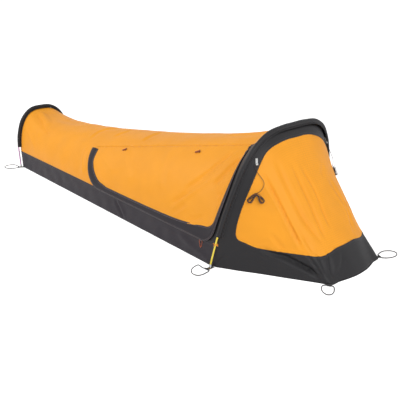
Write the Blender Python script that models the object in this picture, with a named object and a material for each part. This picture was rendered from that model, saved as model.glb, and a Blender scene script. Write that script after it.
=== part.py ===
"""Hooped bivvy tent: two shock-corded pole hoops in sleeves, a tensioned canopy with a zipped side door,
a tub floor with skirts, and a sloping porch. Metres, +Z up, +X towards the head, the door on -Y."""
import math

import bmesh
import bpy
import numpy as np
from mathutils import Vector
from mathutils.geometry import delaunay_2d_cdt

# Plan of the tent on the ground
LENGTH = 1.990          # foot hoop to head hoop
PORCH = 0.469           # head hoop to the porch's front edge
BASE_FOOT = 0.183       # half-width of the floor at the foot hoop
BASE_HEAD = 0.409       # half-width of the floor at the head hoop
BASE_FRONT = 0.190      # half-width of the porch's front edge
PORCH_CORNER = 0.030    # radius of the porch's two front corners
PORCH_BOW = 0.034       # how far the porch's front edge bows ahead of its corners

# Hoops, as sections of the skin measured in their own leaning planes
FOOT_HEIGHT = 0.3760
HEAD_HEIGHT = 0.5965
FOOT_LEAN = math.radians(-1.9)
HEAD_LEAN = math.radians(9.8)
SEAM_FOOT = 0.1851      # half-width at the skirt seam
SEAM_HEAD = 0.4034
SEAM_Z_FOOT = 0.112     # height of the skirt seam
SEAM_Z_HEAD = 0.108
SIDE_POWER_FOOT = 2.95  # squareness of the arch across
SIDE_POWER_HEAD = 4.05
TOP_POWERS = ((0, 2.02), (0.25, 1.85), (0.5, 1.85), (0.75, 1.58), (1, 1.046))
RIDGE_SAG = ((0, 0), (0.06, 0.043), (0.14, 0.076), (0.28, 0.093), (0.42, 0.096), (0.57, 0.096),
             (0.72, 0.083), (0.86, 0.058), (0.94, 0.034), (1, 0))

# Cloth and seams
CLOTH = 0.0016          # thickness of the coated cloth panels
SKIRT = 0.0020          # thickness of the floor and its skirts
SEAM_GAP = 0.0003       # clearance between pieces that touch
CUT_GAP = 0.0005        # clearance round the door's cut edge
END_INSET = 0.0012      # extra clearance round the flat foot panel
PORCH_FLOOR_INSET = 0.0028  # extra clearance of the floor behind the sloping porch
STEP = 0.075            # spacing of the cloth panels' mesh

# Door: its hinge line runs straight through two points of the skin
DOOR_FOOT_X = 0.839     # hinge's foot end, from the foot hoop
DOOR_HEAD_GAP = 0.118   # hinge's head end, back from the head hoop
DOOR_FOOT_RISE = 0.802  # share of the ridge height at each end
DOOR_HEAD_RISE = 0.924
DOOR_FOOT_SIDE = 0.662  # share of the seam's half-width at each end
DOOR_HEAD_SIDE = 0.323
DOOR_J_LENGTH = 0.170   # length and height of the curved foot end of the zip
ZIP_BACK = 0.050        # zip's upright run, back from the head hoop
ZIP_CORNER = 0.050      # radius of the zip's lower head corner
ZIP_LEAN_FROM = 0.200   # height above which that run leans to the hinge's end

# Zip and storm flap
CHAIN_WIDTH = 0.0075
CHAIN_THICK = 0.0016
CHAIN_LIFT = 0.0007
FLAP_THICK = 0.0014
FLAP_BELLY = 0.0078     # how far the flap stands off over the zip
FLAP_EDGE_LIFT = 0.0052
FLAP_OUT_TOP = 0.026    # flap's width outside the zip line: at the J's top, its middle, along the seam, beside the hoop
FLAP_OUT_J = 0.013
FLAP_OUT_LOW = 0.0075
FLAP_OUT_UP = 0.013
FLAP_IN_TOP = 0.030     # flap's width inside the zip line, at the same places and at the lower head corner
FLAP_IN_J = 0.044
FLAP_IN_LOW = 0.027
FLAP_IN_HEAD = 0.058
FLAP_IN_UP = 0.016
FLAP_CORNER = 0.045     # radius of its inner edge at the lower head corner
FLAP_TOP_GAP = 0.008    # flap and zip stop this far below the hinge line
SLIDER_BACK = 0.110     # parked slider, back from the head hoop
SLIDER_X = LENGTH - SLIDER_BACK
SLIDER_LENGTH = 0.014
SLIDER_PLATE = 0.0011
SLIDER_EYE_R = 0.0024
SLIDER_EYE_BORE = 0.0014
PULL_R = 0.0008
PULL_LENGTH = 0.034
PULL_HALF = 0.0095

# Poles, all turned or drawn round
POLE_R = 0.00425
POLE_BORE = 0.0033
FERRULE_R = 0.00285
FERRULE_BORE = 0.0022
SHOCK_CORD_R = 0.00125
POLE_SIDES = 8
HEAD_SECTIONS = 4
FOOT_SECTIONS = 3
POLE_STEP = 0.045
TIP_HEAD = 0.434        # half-span of the pole tips on the ground
TIP_FOOT = 0.198
SLEEVE_R = 0.0110
SLEEVE_WALL = 0.0010
SLEEVE_END_HEAD = 0.137  # height of the sleeve's open ends
SLEEVE_END_FOOT = 0.127
TIP_COLLAR_R = 0.0056
TIP_PIN_R = 0.0026
TIP_PIN_LENGTH = 0.008
TIP_SPIGOT_LENGTH = 0.014
TIP_LENGTH = 0.022      # from the ground to the end of the pole tube

# Peg points
TAB_WIDTH = 0.018
TAB_THICK = 0.002
TAB_EYE_R = 0.004
TAB_EYE_BORE = 0.0021
TAB_REACH = 0.017       # from the pole tip to the eye
PORCH_TAB_REACH = 0.020
GROMMET_HOLE_R = 0.0030
GROMMET_BARREL_R = 0.0042
GROMMET_FLANGE_R = 0.0070
GROMMET_FLANGE = 0.0009
PEG_CORD_R = 0.0015
PEG_LOOP_LENGTH = 0.0905
PEG_LOOP_HALF = 0.0255
PEG_ROLL_HEAD = math.radians(27)   # the side away from the door's camera side lies higher
PEG_ROLL_OTHER = math.radians(12)
FOOT_PEG_TURN = math.radians(36)   # turned from straight out
PORCH_PEG_TURN = math.radians(27)

# Porch cloth
BAND_LEG = 0.068        # dark band ahead of the hoop, at its legs, shoulders and top
BAND_SHOULDER = 0.040
BAND_TOP = 0.052
PORCH_SKIRT = 0.100     # height of the porch's dark skirt
PORCH_SAG = 0.019
PORCH_START = 0.010     # the cloth starts this far up the hoop's leg
SHOULDER = 0.520        # hoop length from the ground to where the front corner's fold starts
WINDOW_CORNER = 0.080

# Guy lines, hanks, toggles and clips
GUY_CORD_R = 0.0010
GUY_TAB_WIDTH = 0.012
GUY_TAB_LENGTH = 0.030
GUY_TAB_THICK = 0.0016
GUY_EYE_R = 0.0034
GUY_EYE_BORE = 0.0017
GUY_LIFT = 0.0006       # clearance under the tab
GUY_L = 0.540           # tab's middle, along the hoop from the ground
GUY_BAND = 0.030        # and ahead of the hoop
HANK_L = 0.447          # hank's place on the porch skin
HANK_V = 0.170
HANK_LIFT = 0.0004      # clearance under the hank
HANK_LOOPS = 5
HANK_HALF = 0.055
HANK_WAIST = 0.0034
HANK_END = 0.0062
HANK_PITCH = 0.0027
TOGGLE_LENGTH = 0.030
TOGGLE_R = 0.004
TOGGLE_SLOPE = math.radians(27)
TOGGLES = ((1.106, 0.027), (1.624, 0.049))  # place along the tent and drop below the hinge line
TOGGLE_HOLE_R = 0.0015
LOOP_CORD_R = 0.0009
LOOP_HALF = 0.0085
LOOP_RISE = 0.0062
CLIP_HEIGHT = 0.112
CLIP_R = 0.0074
CLIP_BORE = 0.0050
CLIP_TONGUE = 0.004     # half-width of the clip's tongue
CLIP_DEPTH = 0.010

FOOT_REACH = 0.0234     # sleeve's reach behind the foot hoop's ground line
FOOT_X = 0.5 * (FOOT_REACH - LENGTH - PORCH - PORCH_BOW)
HEAD_X = FOOT_X + LENGTH
FRONT_X = HEAD_X + PORCH


def blend(a, b, t):
    """Value between a and b."""
    return a + (b - a) * t


def ease(t):
    """Smooth step from 0 to 1."""
    t = np.clip(t, 0, 1)
    return t * t * (3 - 2 * t)


def curve(knots, x):
    """Smooth curve through (x, y) knots that never overshoots them."""
    xs = np.array([k[0] for k in knots], float)
    ys = np.array([k[1] for k in knots], float)
    x = np.asarray(x, float)
    gaps = np.diff(xs)
    rise = np.diff(ys) / gaps
    slope = np.concatenate([[rise[0]], 0.5 * (rise[1:] + rise[:-1]), [rise[-1]]])
    turning = np.concatenate([[False], rise[1:] * rise[:-1] <= 0, [False]])
    slope[turning] = 0
    i = np.clip(np.searchsorted(xs, x) - 1, 0, len(gaps) - 1)
    t = (x - xs[i]) / gaps[i]
    h00 = 2 * t**3 - 3 * t**2 + 1
    h10 = t**3 - 2 * t**2 + t
    h01 = 3 * t**2 - 2 * t**3
    h11 = t**3 - t**2
    return h00 * ys[i] + h10 * gaps[i] * slope[i] + h01 * ys[i + 1] + h11 * gaps[i] * slope[i + 1]


def unit(v):
    """Vectors of length one."""
    return v / np.linalg.norm(v, axis=-1, keepdims=True)


# Body skin, as sections that lean from one hoop to the other


def ridge(u):
    return blend(FOOT_HEIGHT, HEAD_HEIGHT, u) - curve(RIDGE_SAG, u)


def seam_side(u):
    return blend(SEAM_FOOT, SEAM_HEAD, u)


def seam_height(u):
    return blend(SEAM_Z_FOOT, SEAM_Z_HEAD, u)


def lean(u):
    return blend(FOOT_LEAN, HEAD_LEAN, u)


def to_space(u, y, h):
    """Point at side y and slant height h in the section plane at u."""
    return np.stack([FOOT_X + LENGTH * u + h * np.sin(lean(u)), y + 0 * h, h * np.cos(lean(u))], -1)


def hinge_end(u, rise, side):
    return to_space(np.float64(u), -side * seam_side(u), rise * ridge(u))


HINGE_FOOT_U = DOOR_FOOT_X / LENGTH
HINGE_HEAD_U = 1 - DOOR_HEAD_GAP / LENGTH
HINGE_FOOT = hinge_end(HINGE_FOOT_U, DOOR_FOOT_RISE, DOOR_FOOT_SIDE)
HINGE_HEAD = hinge_end(HINGE_HEAD_U, DOOR_HEAD_RISE, DOOR_HEAD_SIDE)


def hinge_at(u):
    """Side and slant height of the straight door hinge line in the section at u."""
    run = HINGE_HEAD - HINGE_FOOT
    t = np.tan(lean(u))
    k = (FOOT_X + LENGTH * u + t * HINGE_FOOT[2] - HINGE_FOOT[0]) / (run[0] - t * run[2])
    p = HINGE_FOOT + np.multiply.outer(k, run)
    return -p[..., 1], p[..., 2] / np.cos(lean(u))


def power_through_hinge(u):
    """Side power that makes the section at u pass through the hinge line."""
    y, h = hinge_at(u)
    rise = (h - seam_height(u)) / (ridge(u) - seam_height(u))
    rise = np.clip(rise, 0.05, 0.985)
    return np.log(1 - rise ** curve(TOP_POWERS, u)) / np.log(np.clip(y / seam_side(u), 0.02, 0.98))


def side_power(u):
    near_foot = blend(SIDE_POWER_FOOT, power_through_hinge(np.float64(HINGE_FOOT_U)), ease(u / HINGE_FOOT_U))
    past = ease((u - HINGE_HEAD_U) / (1 - HINGE_HEAD_U))
    near_head = blend(power_through_hinge(np.float64(HINGE_HEAD_U)), SIDE_POWER_HEAD, past)
    middle = power_through_hinge(np.clip(u, HINGE_FOOT_U, HINGE_HEAD_U))
    return np.where(u < HINGE_FOOT_U, near_foot, np.where(u > HINGE_HEAD_U, near_head, middle))


def arch(u, a):
    """Side and slant height of the arch at u for the angle a, 0 at the near seam and pi at the far one."""
    c = np.cos(a)
    s = np.clip(np.abs(np.sin(a)), 0, 1)
    y = -seam_side(u) * np.sign(c) * np.abs(c) ** (2 / side_power(u))
    h = seam_height(u) + (ridge(u) - seam_height(u)) * s ** (2 / curve(TOP_POWERS, u))
    return y, h


TABLE_U = np.linspace(0, 1, 201)
TABLE_F = np.linspace(0, 1, 161)


def arc_tables():
    """For each section: its arc length from seam to seam, and the angle at equal shares of it."""
    a = 0.5 * math.pi * (1 - np.cos(np.linspace(0, math.pi, 481)))
    u, aa = np.meshgrid(TABLE_U, a, indexing="ij")
    y, h = arch(u, aa)
    run = np.concatenate([np.zeros((len(TABLE_U), 1)), np.cumsum(np.hypot(np.diff(y), np.diff(h)), axis=1)], axis=1)
    angles = np.array([np.interp(TABLE_F * r[-1], r, a) for r in run])
    return run[:, -1], angles


ARC, ANGLE = arc_tables()


def arc_length(u):
    return np.interp(u, TABLE_U, ARC)


def angle_at(u, f):
    """Arch angle at share f of the arc, read between the tables' rows."""
    i = np.clip((u * (len(TABLE_U) - 1)).astype(int), 0, len(TABLE_U) - 2)
    j = np.clip((f * (len(TABLE_F) - 1)).astype(int), 0, len(TABLE_F) - 2)
    p = u * (len(TABLE_U) - 1) - i
    q = f * (len(TABLE_F) - 1) - j
    low = blend(ANGLE[i, j], ANGLE[i, j + 1], q)
    high = blend(ANGLE[i + 1, j], ANGLE[i + 1, j + 1], q)
    return blend(low, high, p)


def skirt_length(u):
    return np.hypot(seam_height(u), seam_side(u) - blend(BASE_FOOT, BASE_HEAD, u))


def section(u, b):
    """Side and slant height at length b up from the near seam; below 0 or past the arc it is on a skirt."""
    total = arc_length(u)
    f = np.clip(b / total, 0, 1)
    y, h = arch(u, angle_at(u, f))
    down = np.maximum(np.maximum(-b, b - total), 0) / skirt_length(u)
    side = blend(np.abs(y), blend(BASE_FOOT, BASE_HEAD, u), down)
    y = np.where(down > 0, np.where(b < 0, -side, side), y)
    h = np.where(down > 0, seam_height(u) * (1 - down), h)
    return y, h


def body_skin(p):
    """Points and outward directions of the body skin at (x from the foot hoop, b up from the near seam)."""
    u = p[..., 0] / LENGTH
    b = p[..., 1]
    total = arc_length(u)
    y, h = section(u, b)
    tiny = 0.002
    y1, h1 = section(u, np.clip(b - tiny, 0, total))
    y2, h2 = section(u, np.clip(b + tiny, 0, total))
    flat = np.stack([np.sign(y), 0 * y], -1)
    normal = unit(np.stack([h1 - h2, y2 - y1], -1) + 1e-12)
    inward = np.minimum(b, total - b) / 0.02
    normal = unit(blend(flat, normal, ease(inward)[..., None]))
    direction = np.stack([normal[..., 1] * np.sin(lean(u)), normal[..., 0], normal[..., 1] * np.cos(lean(u))], -1)
    return to_space(u, y, h), direction


def length_up(u, height):
    """Length up the near side from the seam to a slant height."""
    b = np.linspace(0, 0.5 * arc_length(u), 400)
    return float(np.interp(height, section(np.full(400, u), b)[1], b))


# Porch skin, ruled from the head hoop to the porch's ground line

HOOP_SKIRT = float(skirt_length(np.float64(1)))
HOOP_LENGTH = float(arc_length(1.0)) + 2 * HOOP_SKIRT


def hoop_line(length):
    p = np.stack([np.full(np.shape(length), LENGTH), np.asarray(length) - HOOP_SKIRT], -1)
    return body_skin(p)


def ground_line(run):
    """Point and outward direction on the near half of the porch's ground line, run metres from the hoop."""
    side = BASE_HEAD - BASE_FRONT
    slope = math.atan2(side, PORCH)
    turn = 0.5 * math.pi - slope
    cut = PORCH_CORNER * math.tan(0.5 * turn)
    straight = math.hypot(PORCH, side) - cut
    arc = PORCH_CORNER * turn
    a = np.clip((run - straight) / PORCH_CORNER, 0, turn)
    along = np.minimum(run, straight)
    x = HEAD_X + along * math.cos(slope)
    y = -BASE_HEAD + along * math.sin(slope)
    x = x + PORCH_CORNER * (np.sin(slope + a) - math.sin(slope))
    y = y + PORCH_CORNER * (math.cos(slope) - np.cos(slope + a))
    ahead = np.maximum(run - straight - arc, 0)
    y = y + ahead
    share = np.clip(ahead / (BASE_FRONT - cut), 0, 1)
    x = x + PORCH_BOW * share * (2 - share)
    bearing = slope + a - math.atan(2 * PORCH_BOW / BASE_FRONT) * (1 - share) * a / turn
    start = ease(run / 0.06)
    bearing = bearing * start
    return x, y, np.sin(bearing), -np.cos(bearing)


def ground_lengths():
    """Run to the middle of the front corner, and to the middle of the front edge."""
    side = BASE_HEAD - BASE_FRONT
    turn = 0.5 * math.pi - math.atan2(side, PORCH)
    cut = PORCH_CORNER * math.tan(0.5 * turn)
    straight = math.hypot(PORCH, side) - cut
    arc = PORCH_CORNER * turn
    return straight + 0.5 * arc, straight + arc + BASE_FRONT - cut


def porch_skin(p):
    """Points and outward directions of the porch skin at (length round the hoop, share v towards the ground)."""
    length = p[..., 0]
    v = p[..., 1]
    near = np.minimum(length, HOOP_LENGTH - length)
    top, top_dir = hoop_line(length)
    x, y, dx, dy = ground_line(ground_run(near))
    side = np.where(length > 0.5 * HOOP_LENGTH, -1.0, 1.0)
    low = np.stack([x, y * side, 0 * x], -1)
    low_dir = np.stack([dx, dy * side, 0 * x], -1)
    direction = unit(blend(top_dir, low_dir, v[..., None]))
    sag = PORCH_SAG * 4 * v * (1 - v) * ease(near / 0.25)
    return blend(top, low, v[..., None]) - direction * sag[..., None], direction


def ruling(length):
    """Length of the straight line from the hoop to the ground."""
    top, _ = porch_skin(np.stack([length, 0 * length], -1))
    low, _ = porch_skin(np.stack([length, 0 * length + 1], -1))
    return np.linalg.norm(low - top, axis=-1)


def band_share(length):
    near = np.minimum(length, HOOP_LENGTH - length)
    width = curve(((0, BAND_LEG), (0.22 * HOOP_LENGTH, BAND_LEG - 0.004), (0.36 * HOOP_LENGTH, BAND_SHOULDER),
                   (0.5 * HOOP_LENGTH, BAND_TOP)), near)
    return width / ruling(length)


def skirt_share(length, height):
    """Share v at which the porch skin comes down to a height."""
    low = np.zeros_like(length)
    high = np.ones_like(length)
    for _ in range(30):
        mid = 0.5 * (low + high)
        above = porch_skin(np.stack([length, mid], -1))[0][:, 2] > height
        low = np.where(above, mid, low)
        high = np.where(above, high, mid)
    return low


# Mesh building


def material(name, colour, roughness, metallic=0.0):
    m = bpy.data.materials.get(name) or bpy.data.materials.new(name)
    m.use_nodes = True
    shader = m.node_tree.nodes["Principled BSDF"]
    shader.inputs["Base Color"].default_value = (*colour, 1)
    shader.inputs["Roughness"].default_value = roughness
    shader.inputs["Metallic"].default_value = metallic
    return m


ORANGE = material("orange_cloth", (0.95, 0.38, 0.05), 0.6)
DARK = material("charcoal_cloth", (0.05, 0.05, 0.055), 0.7)
FLOOR = material("floor_cloth", (0.06, 0.06, 0.07), 0.6)
GOLD = material("gold_alloy", (0.62, 0.52, 0.16), 0.35, 1.0)
MAUVE = material("mauve_alloy", (0.45, 0.25, 0.42), 0.35, 1.0)
STEEL = material("tip_steel", (0.6, 0.6, 0.6), 0.3, 1.0)
BRASS = material("brass_grommet", (0.55, 0.45, 0.25), 0.35, 1.0)
CORD = material("grey_cord", (0.12, 0.12, 0.12), 0.8)
WEBBING = material("dark_webbing", (0.05, 0.05, 0.05), 0.85)
WHITE = material("white_webbing", (0.8, 0.8, 0.78), 0.7)
BROWN = material("brown_toggle", (0.32, 0.08, 0.01), 0.5)
CLIP = material("orange_acetal", (0.8, 0.3, 0.05), 0.4)
ZIP = material("zip_coil", (0.03, 0.03, 0.03), 0.5)
SLIDER = material("zip_slider_zinc", (0.25, 0.25, 0.26), 0.35, 1.0)
PULL = material("orange_pull_cord", (0.85, 0.25, 0.08), 0.6)


def make(name, verts, faces, finish, smooth=False, origin=None):
    """One mesh object; its origin can stand on a joint's axis."""
    shift = Vector((0, 0, 0)) if origin is None else Vector([float(c) for c in origin])
    mesh = bpy.data.meshes.new(name)
    mesh.from_pydata([Vector([float(c) for c in v]) - shift for v in verts], [], [list(map(int, f)) for f in faces])
    mesh.materials.append(finish)
    if smooth:
        mesh.shade_smooth()
        mesh.set_sharp_from_angle(angle=math.radians(40))
    obj = bpy.data.objects.new(name, mesh)
    obj.location = shift
    bpy.context.scene.collection.objects.link(obj)
    return obj


def inside(points, loop):
    """Which points lie inside a closed loop."""
    a = loop
    b = np.roll(loop, -1, axis=0)
    x = points[:, 0][:, None]
    y = points[:, 1][:, None]
    crosses = (a[:, 1] > y) != (b[:, 1] > y)
    dy = np.where(np.abs(b[:, 1] - a[:, 1]) < 1e-12, 1e-12, b[:, 1] - a[:, 1])
    at = a[:, 0] + (y - a[:, 1]) / dy * (b[:, 0] - a[:, 0])
    return (crosses & (x < at)).sum(axis=1) % 2 == 1


def edge_distance(points, loop):
    """Distance from each point to the nearest edge of a loop."""
    a = loop
    d = np.roll(loop, -1, axis=0) - a
    w = points[:, None, :] - a[None]
    t = np.clip((w * d).sum(-1) / np.maximum((d * d).sum(-1), 1e-18), 0, 1)
    return np.linalg.norm(w - t[..., None] * d, axis=-1).min(axis=1)


def triangulate(loops, step, fill=True, guides=()):
    """Triangles over the outer loop less the holes, with guide points and a grid of points inside."""
    outer = loops[0]
    pts = [p for loop in loops for p in loop]
    edges = []
    start = 0
    for loop in loops:
        n = len(loop)
        edges += [(start + i, start + (i + 1) % n) for i in range(n)]
        start += n
    pts += list(guides)
    if fill:
        low = outer.min(axis=0)
        high = outer.max(axis=0)
        count = np.maximum(np.round((high - low) / step).astype(int), 1)
        grid = [(low[0] + (high[0] - low[0]) * i / count[0], low[1] + (high[1] - low[1]) * j / count[1])
                for i in range(1, count[0]) for j in range(1, count[1])]
        if grid:
            grid = np.array(grid)
            keep = inside(grid, outer) & (edge_distance(grid, outer) > 0.45 * step)
            for hole in loops[1:]:
                keep &= ~inside(grid, hole) & (edge_distance(grid, hole) > 0.45 * step)
            for guide in guides:
                keep &= np.linalg.norm(grid - guide, axis=1) > 0.45 * step
            pts += list(grid[keep])
    out = delaunay_2d_cdt([Vector((float(p[0]), float(p[1]))) for p in pts], edges, [], 0, 1e-7)
    verts = np.array([(v.x, v.y) for v in out[0]])
    tris = np.array([f for f in out[2]])
    middle = verts[tris].mean(axis=1)
    keep = inside(middle, outer)
    for hole in loops[1:]:
        keep &= ~inside(middle, hole)
    return verts, tris[keep]


def thicken(outer, inner, tris):
    """Closed solid between two copies of a triangulated sheet."""
    n = len(outer)
    edges = {}
    for a, b, c in tris:
        for e in ((a, b), (b, c), (c, a)):
            edges[e] = edges.get(e, 0) + 1
    rim = [e for e in edges if (e[1], e[0]) not in edges]
    faces = [tuple(t) for t in tris] + [(c + n, b + n, a + n) for a, b, c in tris]
    for a, b in rim:
        faces += [(b, a, a + n), (b, a + n, b + n)]
    return np.concatenate([outer, inner]), faces


def cloth(name, skin, loops, finish, thick=CLOTH, step=STEP, scale=(1, 1), origin=None, guides=()):
    """Cloth panel cut to loops in a skin's own coordinates, thickened inwards."""
    scale = np.array(scale, float)
    verts, tris = triangulate([np.asarray(loop) * scale for loop in loops], step, True, guides)
    points, direction = skin(verts / scale)
    a, b, c = (points[tris[:, k]] for k in range(3))
    facing = (np.cross(b - a, c - a) * direction[tris[:, 0]]).sum()
    if facing < 0:
        tris = tris[:, ::-1]
    used = np.unique(tris)
    index = np.full(len(points), -1)
    index[used] = np.arange(len(used))
    tris = index[tris]
    points, direction = points[used], direction[used]
    solid, faces = thicken(points, points - direction * thick, tris)
    return make(name, solid, faces, finish, smooth=True, origin=origin)


def rings_solid(name, rings, finish, closed=False, origin=None, smooth=True):
    """Solid skinned over rings of points; closed joins the last ring to the first."""
    rings = [np.asarray(r) for r in rings]
    sides = len(rings[0])
    faces = []
    count = len(rings) if closed else len(rings) - 1
    for k in range(count):
        a = k * sides
        b = ((k + 1) % len(rings)) * sides
        for i in range(sides):
            j = (i + 1) % sides
            faces.append((a + i, a + j, b + j, b + i))
    if not closed:
        faces.append(tuple(reversed(range(sides))))
        faces.append(tuple(range((len(rings) - 1) * sides, len(rings) * sides)))
    obj = make(name, np.concatenate(rings), faces, finish, smooth, origin)
    bm = bmesh.new()
    bm.from_mesh(obj.data)
    bmesh.ops.recalc_face_normals(bm, faces=bm.faces)
    bm.to_mesh(obj.data)
    bm.free()
    return obj


def circle(centre, across, up, radius, sides):
    a = (np.arange(sides) + 0.5) * 2 * math.pi / sides
    return centre + radius * (np.cos(a)[:, None] * across + np.sin(a)[:, None] * up)


def prism(name, loops, frame, depth, finish, origin=None):
    """Flat outline with holes in a frame's first two axes, given a depth along the third."""
    base, ax, ay, az = frame
    verts, tris = triangulate([np.asarray(loop, float) for loop in loops], 1.0, fill=False)
    flat = base + verts[:, :1] * ax + verts[:, 1:] * ay
    solid, faces = thicken(flat + az * 0.5 * depth, flat - az * 0.5 * depth, tris)
    obj = make(name, solid, faces, finish, origin=origin)
    bm = bmesh.new()
    bm.from_mesh(obj.data)
    bmesh.ops.recalc_face_normals(bm, faces=bm.faces)
    bm.to_mesh(obj.data)
    bm.free()
    return obj


def arc_points(centre, radius, start, end, count):
    a = np.linspace(math.radians(start), math.radians(end), count)
    return np.stack([centre[0] + radius * np.cos(a), centre[1] + radius * np.sin(a)], -1)


def round_corner(loop, corner, radius, count=5):
    """Swap the points near a corner of a loop for a smooth curve."""
    corner = np.asarray(corner, float)
    near = np.linalg.norm(loop - corner, axis=1) < radius
    first = int(np.argmax(~near))
    loop = np.roll(loop, -first, axis=0)
    near = np.roll(near, -first)
    spots = np.nonzero(near)[0]
    before = loop[spots[0] - 1]
    after = loop[(spots[-1] + 1) % len(loop)]
    a = corner + unit(before - corner) * radius
    b = corner + unit(after - corner) * radius
    t = np.linspace(0, 1, count)[:, None]
    bend = (1 - t) ** 2 * a + 2 * t * (1 - t) * corner + t**2 * b
    return np.concatenate([loop[:spots[0]], bend, loop[spots[-1] + 1:]])


def polyline_offset(points, distance):
    """Open line shifted sideways to its left."""
    tangent = np.gradient(points, axis=0)
    tangent = unit(tangent)
    return points + np.stack([-tangent[:, 1], tangent[:, 0]], -1) * distance


def resample(points, step):
    """Open line with even steps."""
    run = np.concatenate([[0], np.cumsum(np.linalg.norm(np.diff(points, axis=0), axis=1))])
    count = max(int(round(run[-1] / step)), 1)
    at = np.linspace(0, run[-1], count + 1)
    return np.stack([np.interp(at, run, points[:, k]) for k in range(points.shape[1])], -1)


# Cutting lines of the door, in (x from the foot hoop, b up from the near seam)


def hinge_b(x):
    """Length up from the seam to the hinge line in the section at x."""
    return length_up(x / LENGTH, float(hinge_at(np.float64(x / LENGTH))[1]))


def zip_line():
    """Line of the zip: down the J, along the seam and up beside the head hoop."""
    j_height = hinge_b(DOOR_FOOT_X)
    a = np.linspace(0, 0.5 * math.pi, 12)
    j = np.stack([DOOR_FOOT_X + DOOR_J_LENGTH * (1 - np.cos(a)), j_height * (1 - np.sin(a))], -1)
    up_x = LENGTH - ZIP_BACK
    low = np.array([[x, 0.0] for x in np.linspace(DOOR_FOOT_X + DOOR_J_LENGTH, up_x - ZIP_CORNER, 16)])
    a = np.linspace(0, 0.5 * math.pi, 6)
    bend = np.stack([up_x - ZIP_CORNER * (1 - np.sin(a)), ZIP_CORNER * (1 - np.cos(a))], -1)
    head_x = LENGTH - DOOR_HEAD_GAP
    top = hinge_b(head_x)
    b = np.linspace(ZIP_CORNER, top, 11)
    lean_back = ((np.maximum(b, ZIP_LEAN_FROM) - ZIP_LEAN_FROM) / (top - ZIP_LEAN_FROM)) ** 2
    up = np.stack([up_x - (up_x - head_x) * lean_back, b], -1)
    line = np.concatenate([j, low[1:], bend[1:], up[1:]])
    start = line[0] + unit(line[1] - line[0]) * FLAP_TOP_GAP
    end = line[-1] + unit(line[-2] - line[-1]) * FLAP_TOP_GAP
    return np.concatenate([line[:1], [start], line[1:-1], [end], line[-1:]])


ZIP_LINE = zip_line()
ZIP_BEND = 28           # first point of the line's bend up beside the hoop
HINGE_X = np.linspace(LENGTH - DOOR_HEAD_GAP, DOOR_FOOT_X, 16)
HINGE_LINE = np.array([[x, hinge_b(x)] for x in HINGE_X])


def door_outline():
    """Door panel: inside the zip line, a cut gap below the hinge line."""
    edge = polyline_offset(ZIP_LINE, CUT_GAP)
    edge[:, 1] = np.maximum(edge[:, 1], 0.5 * SEAM_GAP)
    top = HINGE_LINE[1:-1] - np.array([0, CUT_GAP])
    edge[0] = [DOOR_FOOT_X + CUT_GAP, HINGE_LINE[-1][1] - CUT_GAP]
    edge[-1] = [HINGE_LINE[0][0] - CUT_GAP, HINGE_LINE[0][1] - CUT_GAP]
    return np.concatenate([edge, top])


def hoop_stations(u, sleeve_end):
    """Lengths up the hoop's section at which cloth edges, sleeve and pole all have a station."""
    total = float(arc_length(float(u)))
    end = length_up(float(u), sleeve_end / math.cos(float(lean(u))))
    count = int(round((total - 2 * end) / POLE_STEP))
    return np.concatenate([[0], np.linspace(end, total - end, count + 1), [total]])


HOOP_B = (hoop_stations(0.0, SLEEVE_END_FOOT), hoop_stations(1.0, SLEEVE_END_HEAD))


def strip_top(gap, head):
    """Upper end of the dark strip, from the door hinge's head end to a station of the hoop."""
    start = hinge_b(LENGTH - DOOR_HEAD_GAP)
    end = HOOP_B[1][np.argmin(np.abs(HOOP_B[1] - start - 0.02))]
    t = np.linspace(0, 1, 4)
    x = blend(LENGTH - DOOR_HEAD_GAP + (CUT_GAP if gap < 0 else 0), head, t)
    return np.stack([x, blend(start, end, t) + gap], -1)[1:]


def canopy_outline():
    """Roof, far side and near foot part: the whole skin less the door and the strip beside the hoop."""
    low = 0.5 * SEAM_GAP
    foot = 0.5 * SEAM_GAP
    head = LENGTH - 0.5 * SEAM_GAP
    start = np.stack([np.linspace(foot, DOOR_FOOT_X + DOOR_J_LENGTH - 0.03, 14), np.full(14, low)], -1)
    j = polyline_offset(ZIP_LINE, -CUT_GAP)
    j = j[(j[:, 0] < DOOR_FOOT_X + DOOR_J_LENGTH - 0.03) & (j[:, 1] > 0.012)][::-1]
    hinge = (HINGE_LINE + np.array([0, CUT_GAP]))[::-1]
    strip = strip_top(CUT_GAP, head)
    total = float(arc_length(1.0))
    rise = HOOP_B[1][HOOP_B[1] > strip[-1, 1] + 0.01]
    rise[-1] = total - low
    hoop = np.stack([np.full(len(rise), head), rise], -1)
    x = np.linspace(head, foot, 26)[1:]
    far = np.stack([x, arc_length(x / LENGTH) - low], -1)
    b = HOOP_B[0][1:-1][::-1]
    foot_end = np.stack([np.full(len(b), foot), b], -1)
    return np.concatenate([start, j, hinge, strip, hoop, far, foot_end])


def strip_outline():
    """Dark strip between the zip's upright run and the head hoop."""
    edge = polyline_offset(ZIP_LINE, -CUT_GAP)[ZIP_BEND:]
    head = LENGTH - 0.5 * SEAM_GAP
    top = hinge_b(LENGTH - DOOR_HEAD_GAP) - CUT_GAP
    edge[-1] = [LENGTH - DOOR_HEAD_GAP + CUT_GAP, top]
    corner = np.array([[edge[0, 0], 0.5 * SEAM_GAP]])
    low = np.stack([np.linspace(edge[0, 0] + 0.02, head, 4), np.full(4, 0.5 * SEAM_GAP)], -1)
    upper = strip_top(-CUT_GAP, head)[::-1]
    b = HOOP_B[1][(HOOP_B[1] > 0.01) & (HOOP_B[1] < upper[0, 1] - 0.01)]
    hoop = np.stack([np.full(len(b), head), b], -1)
    return np.concatenate([corner, low, hoop, upper, edge[::-1][:-1]])


# Fabric of the body


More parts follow.
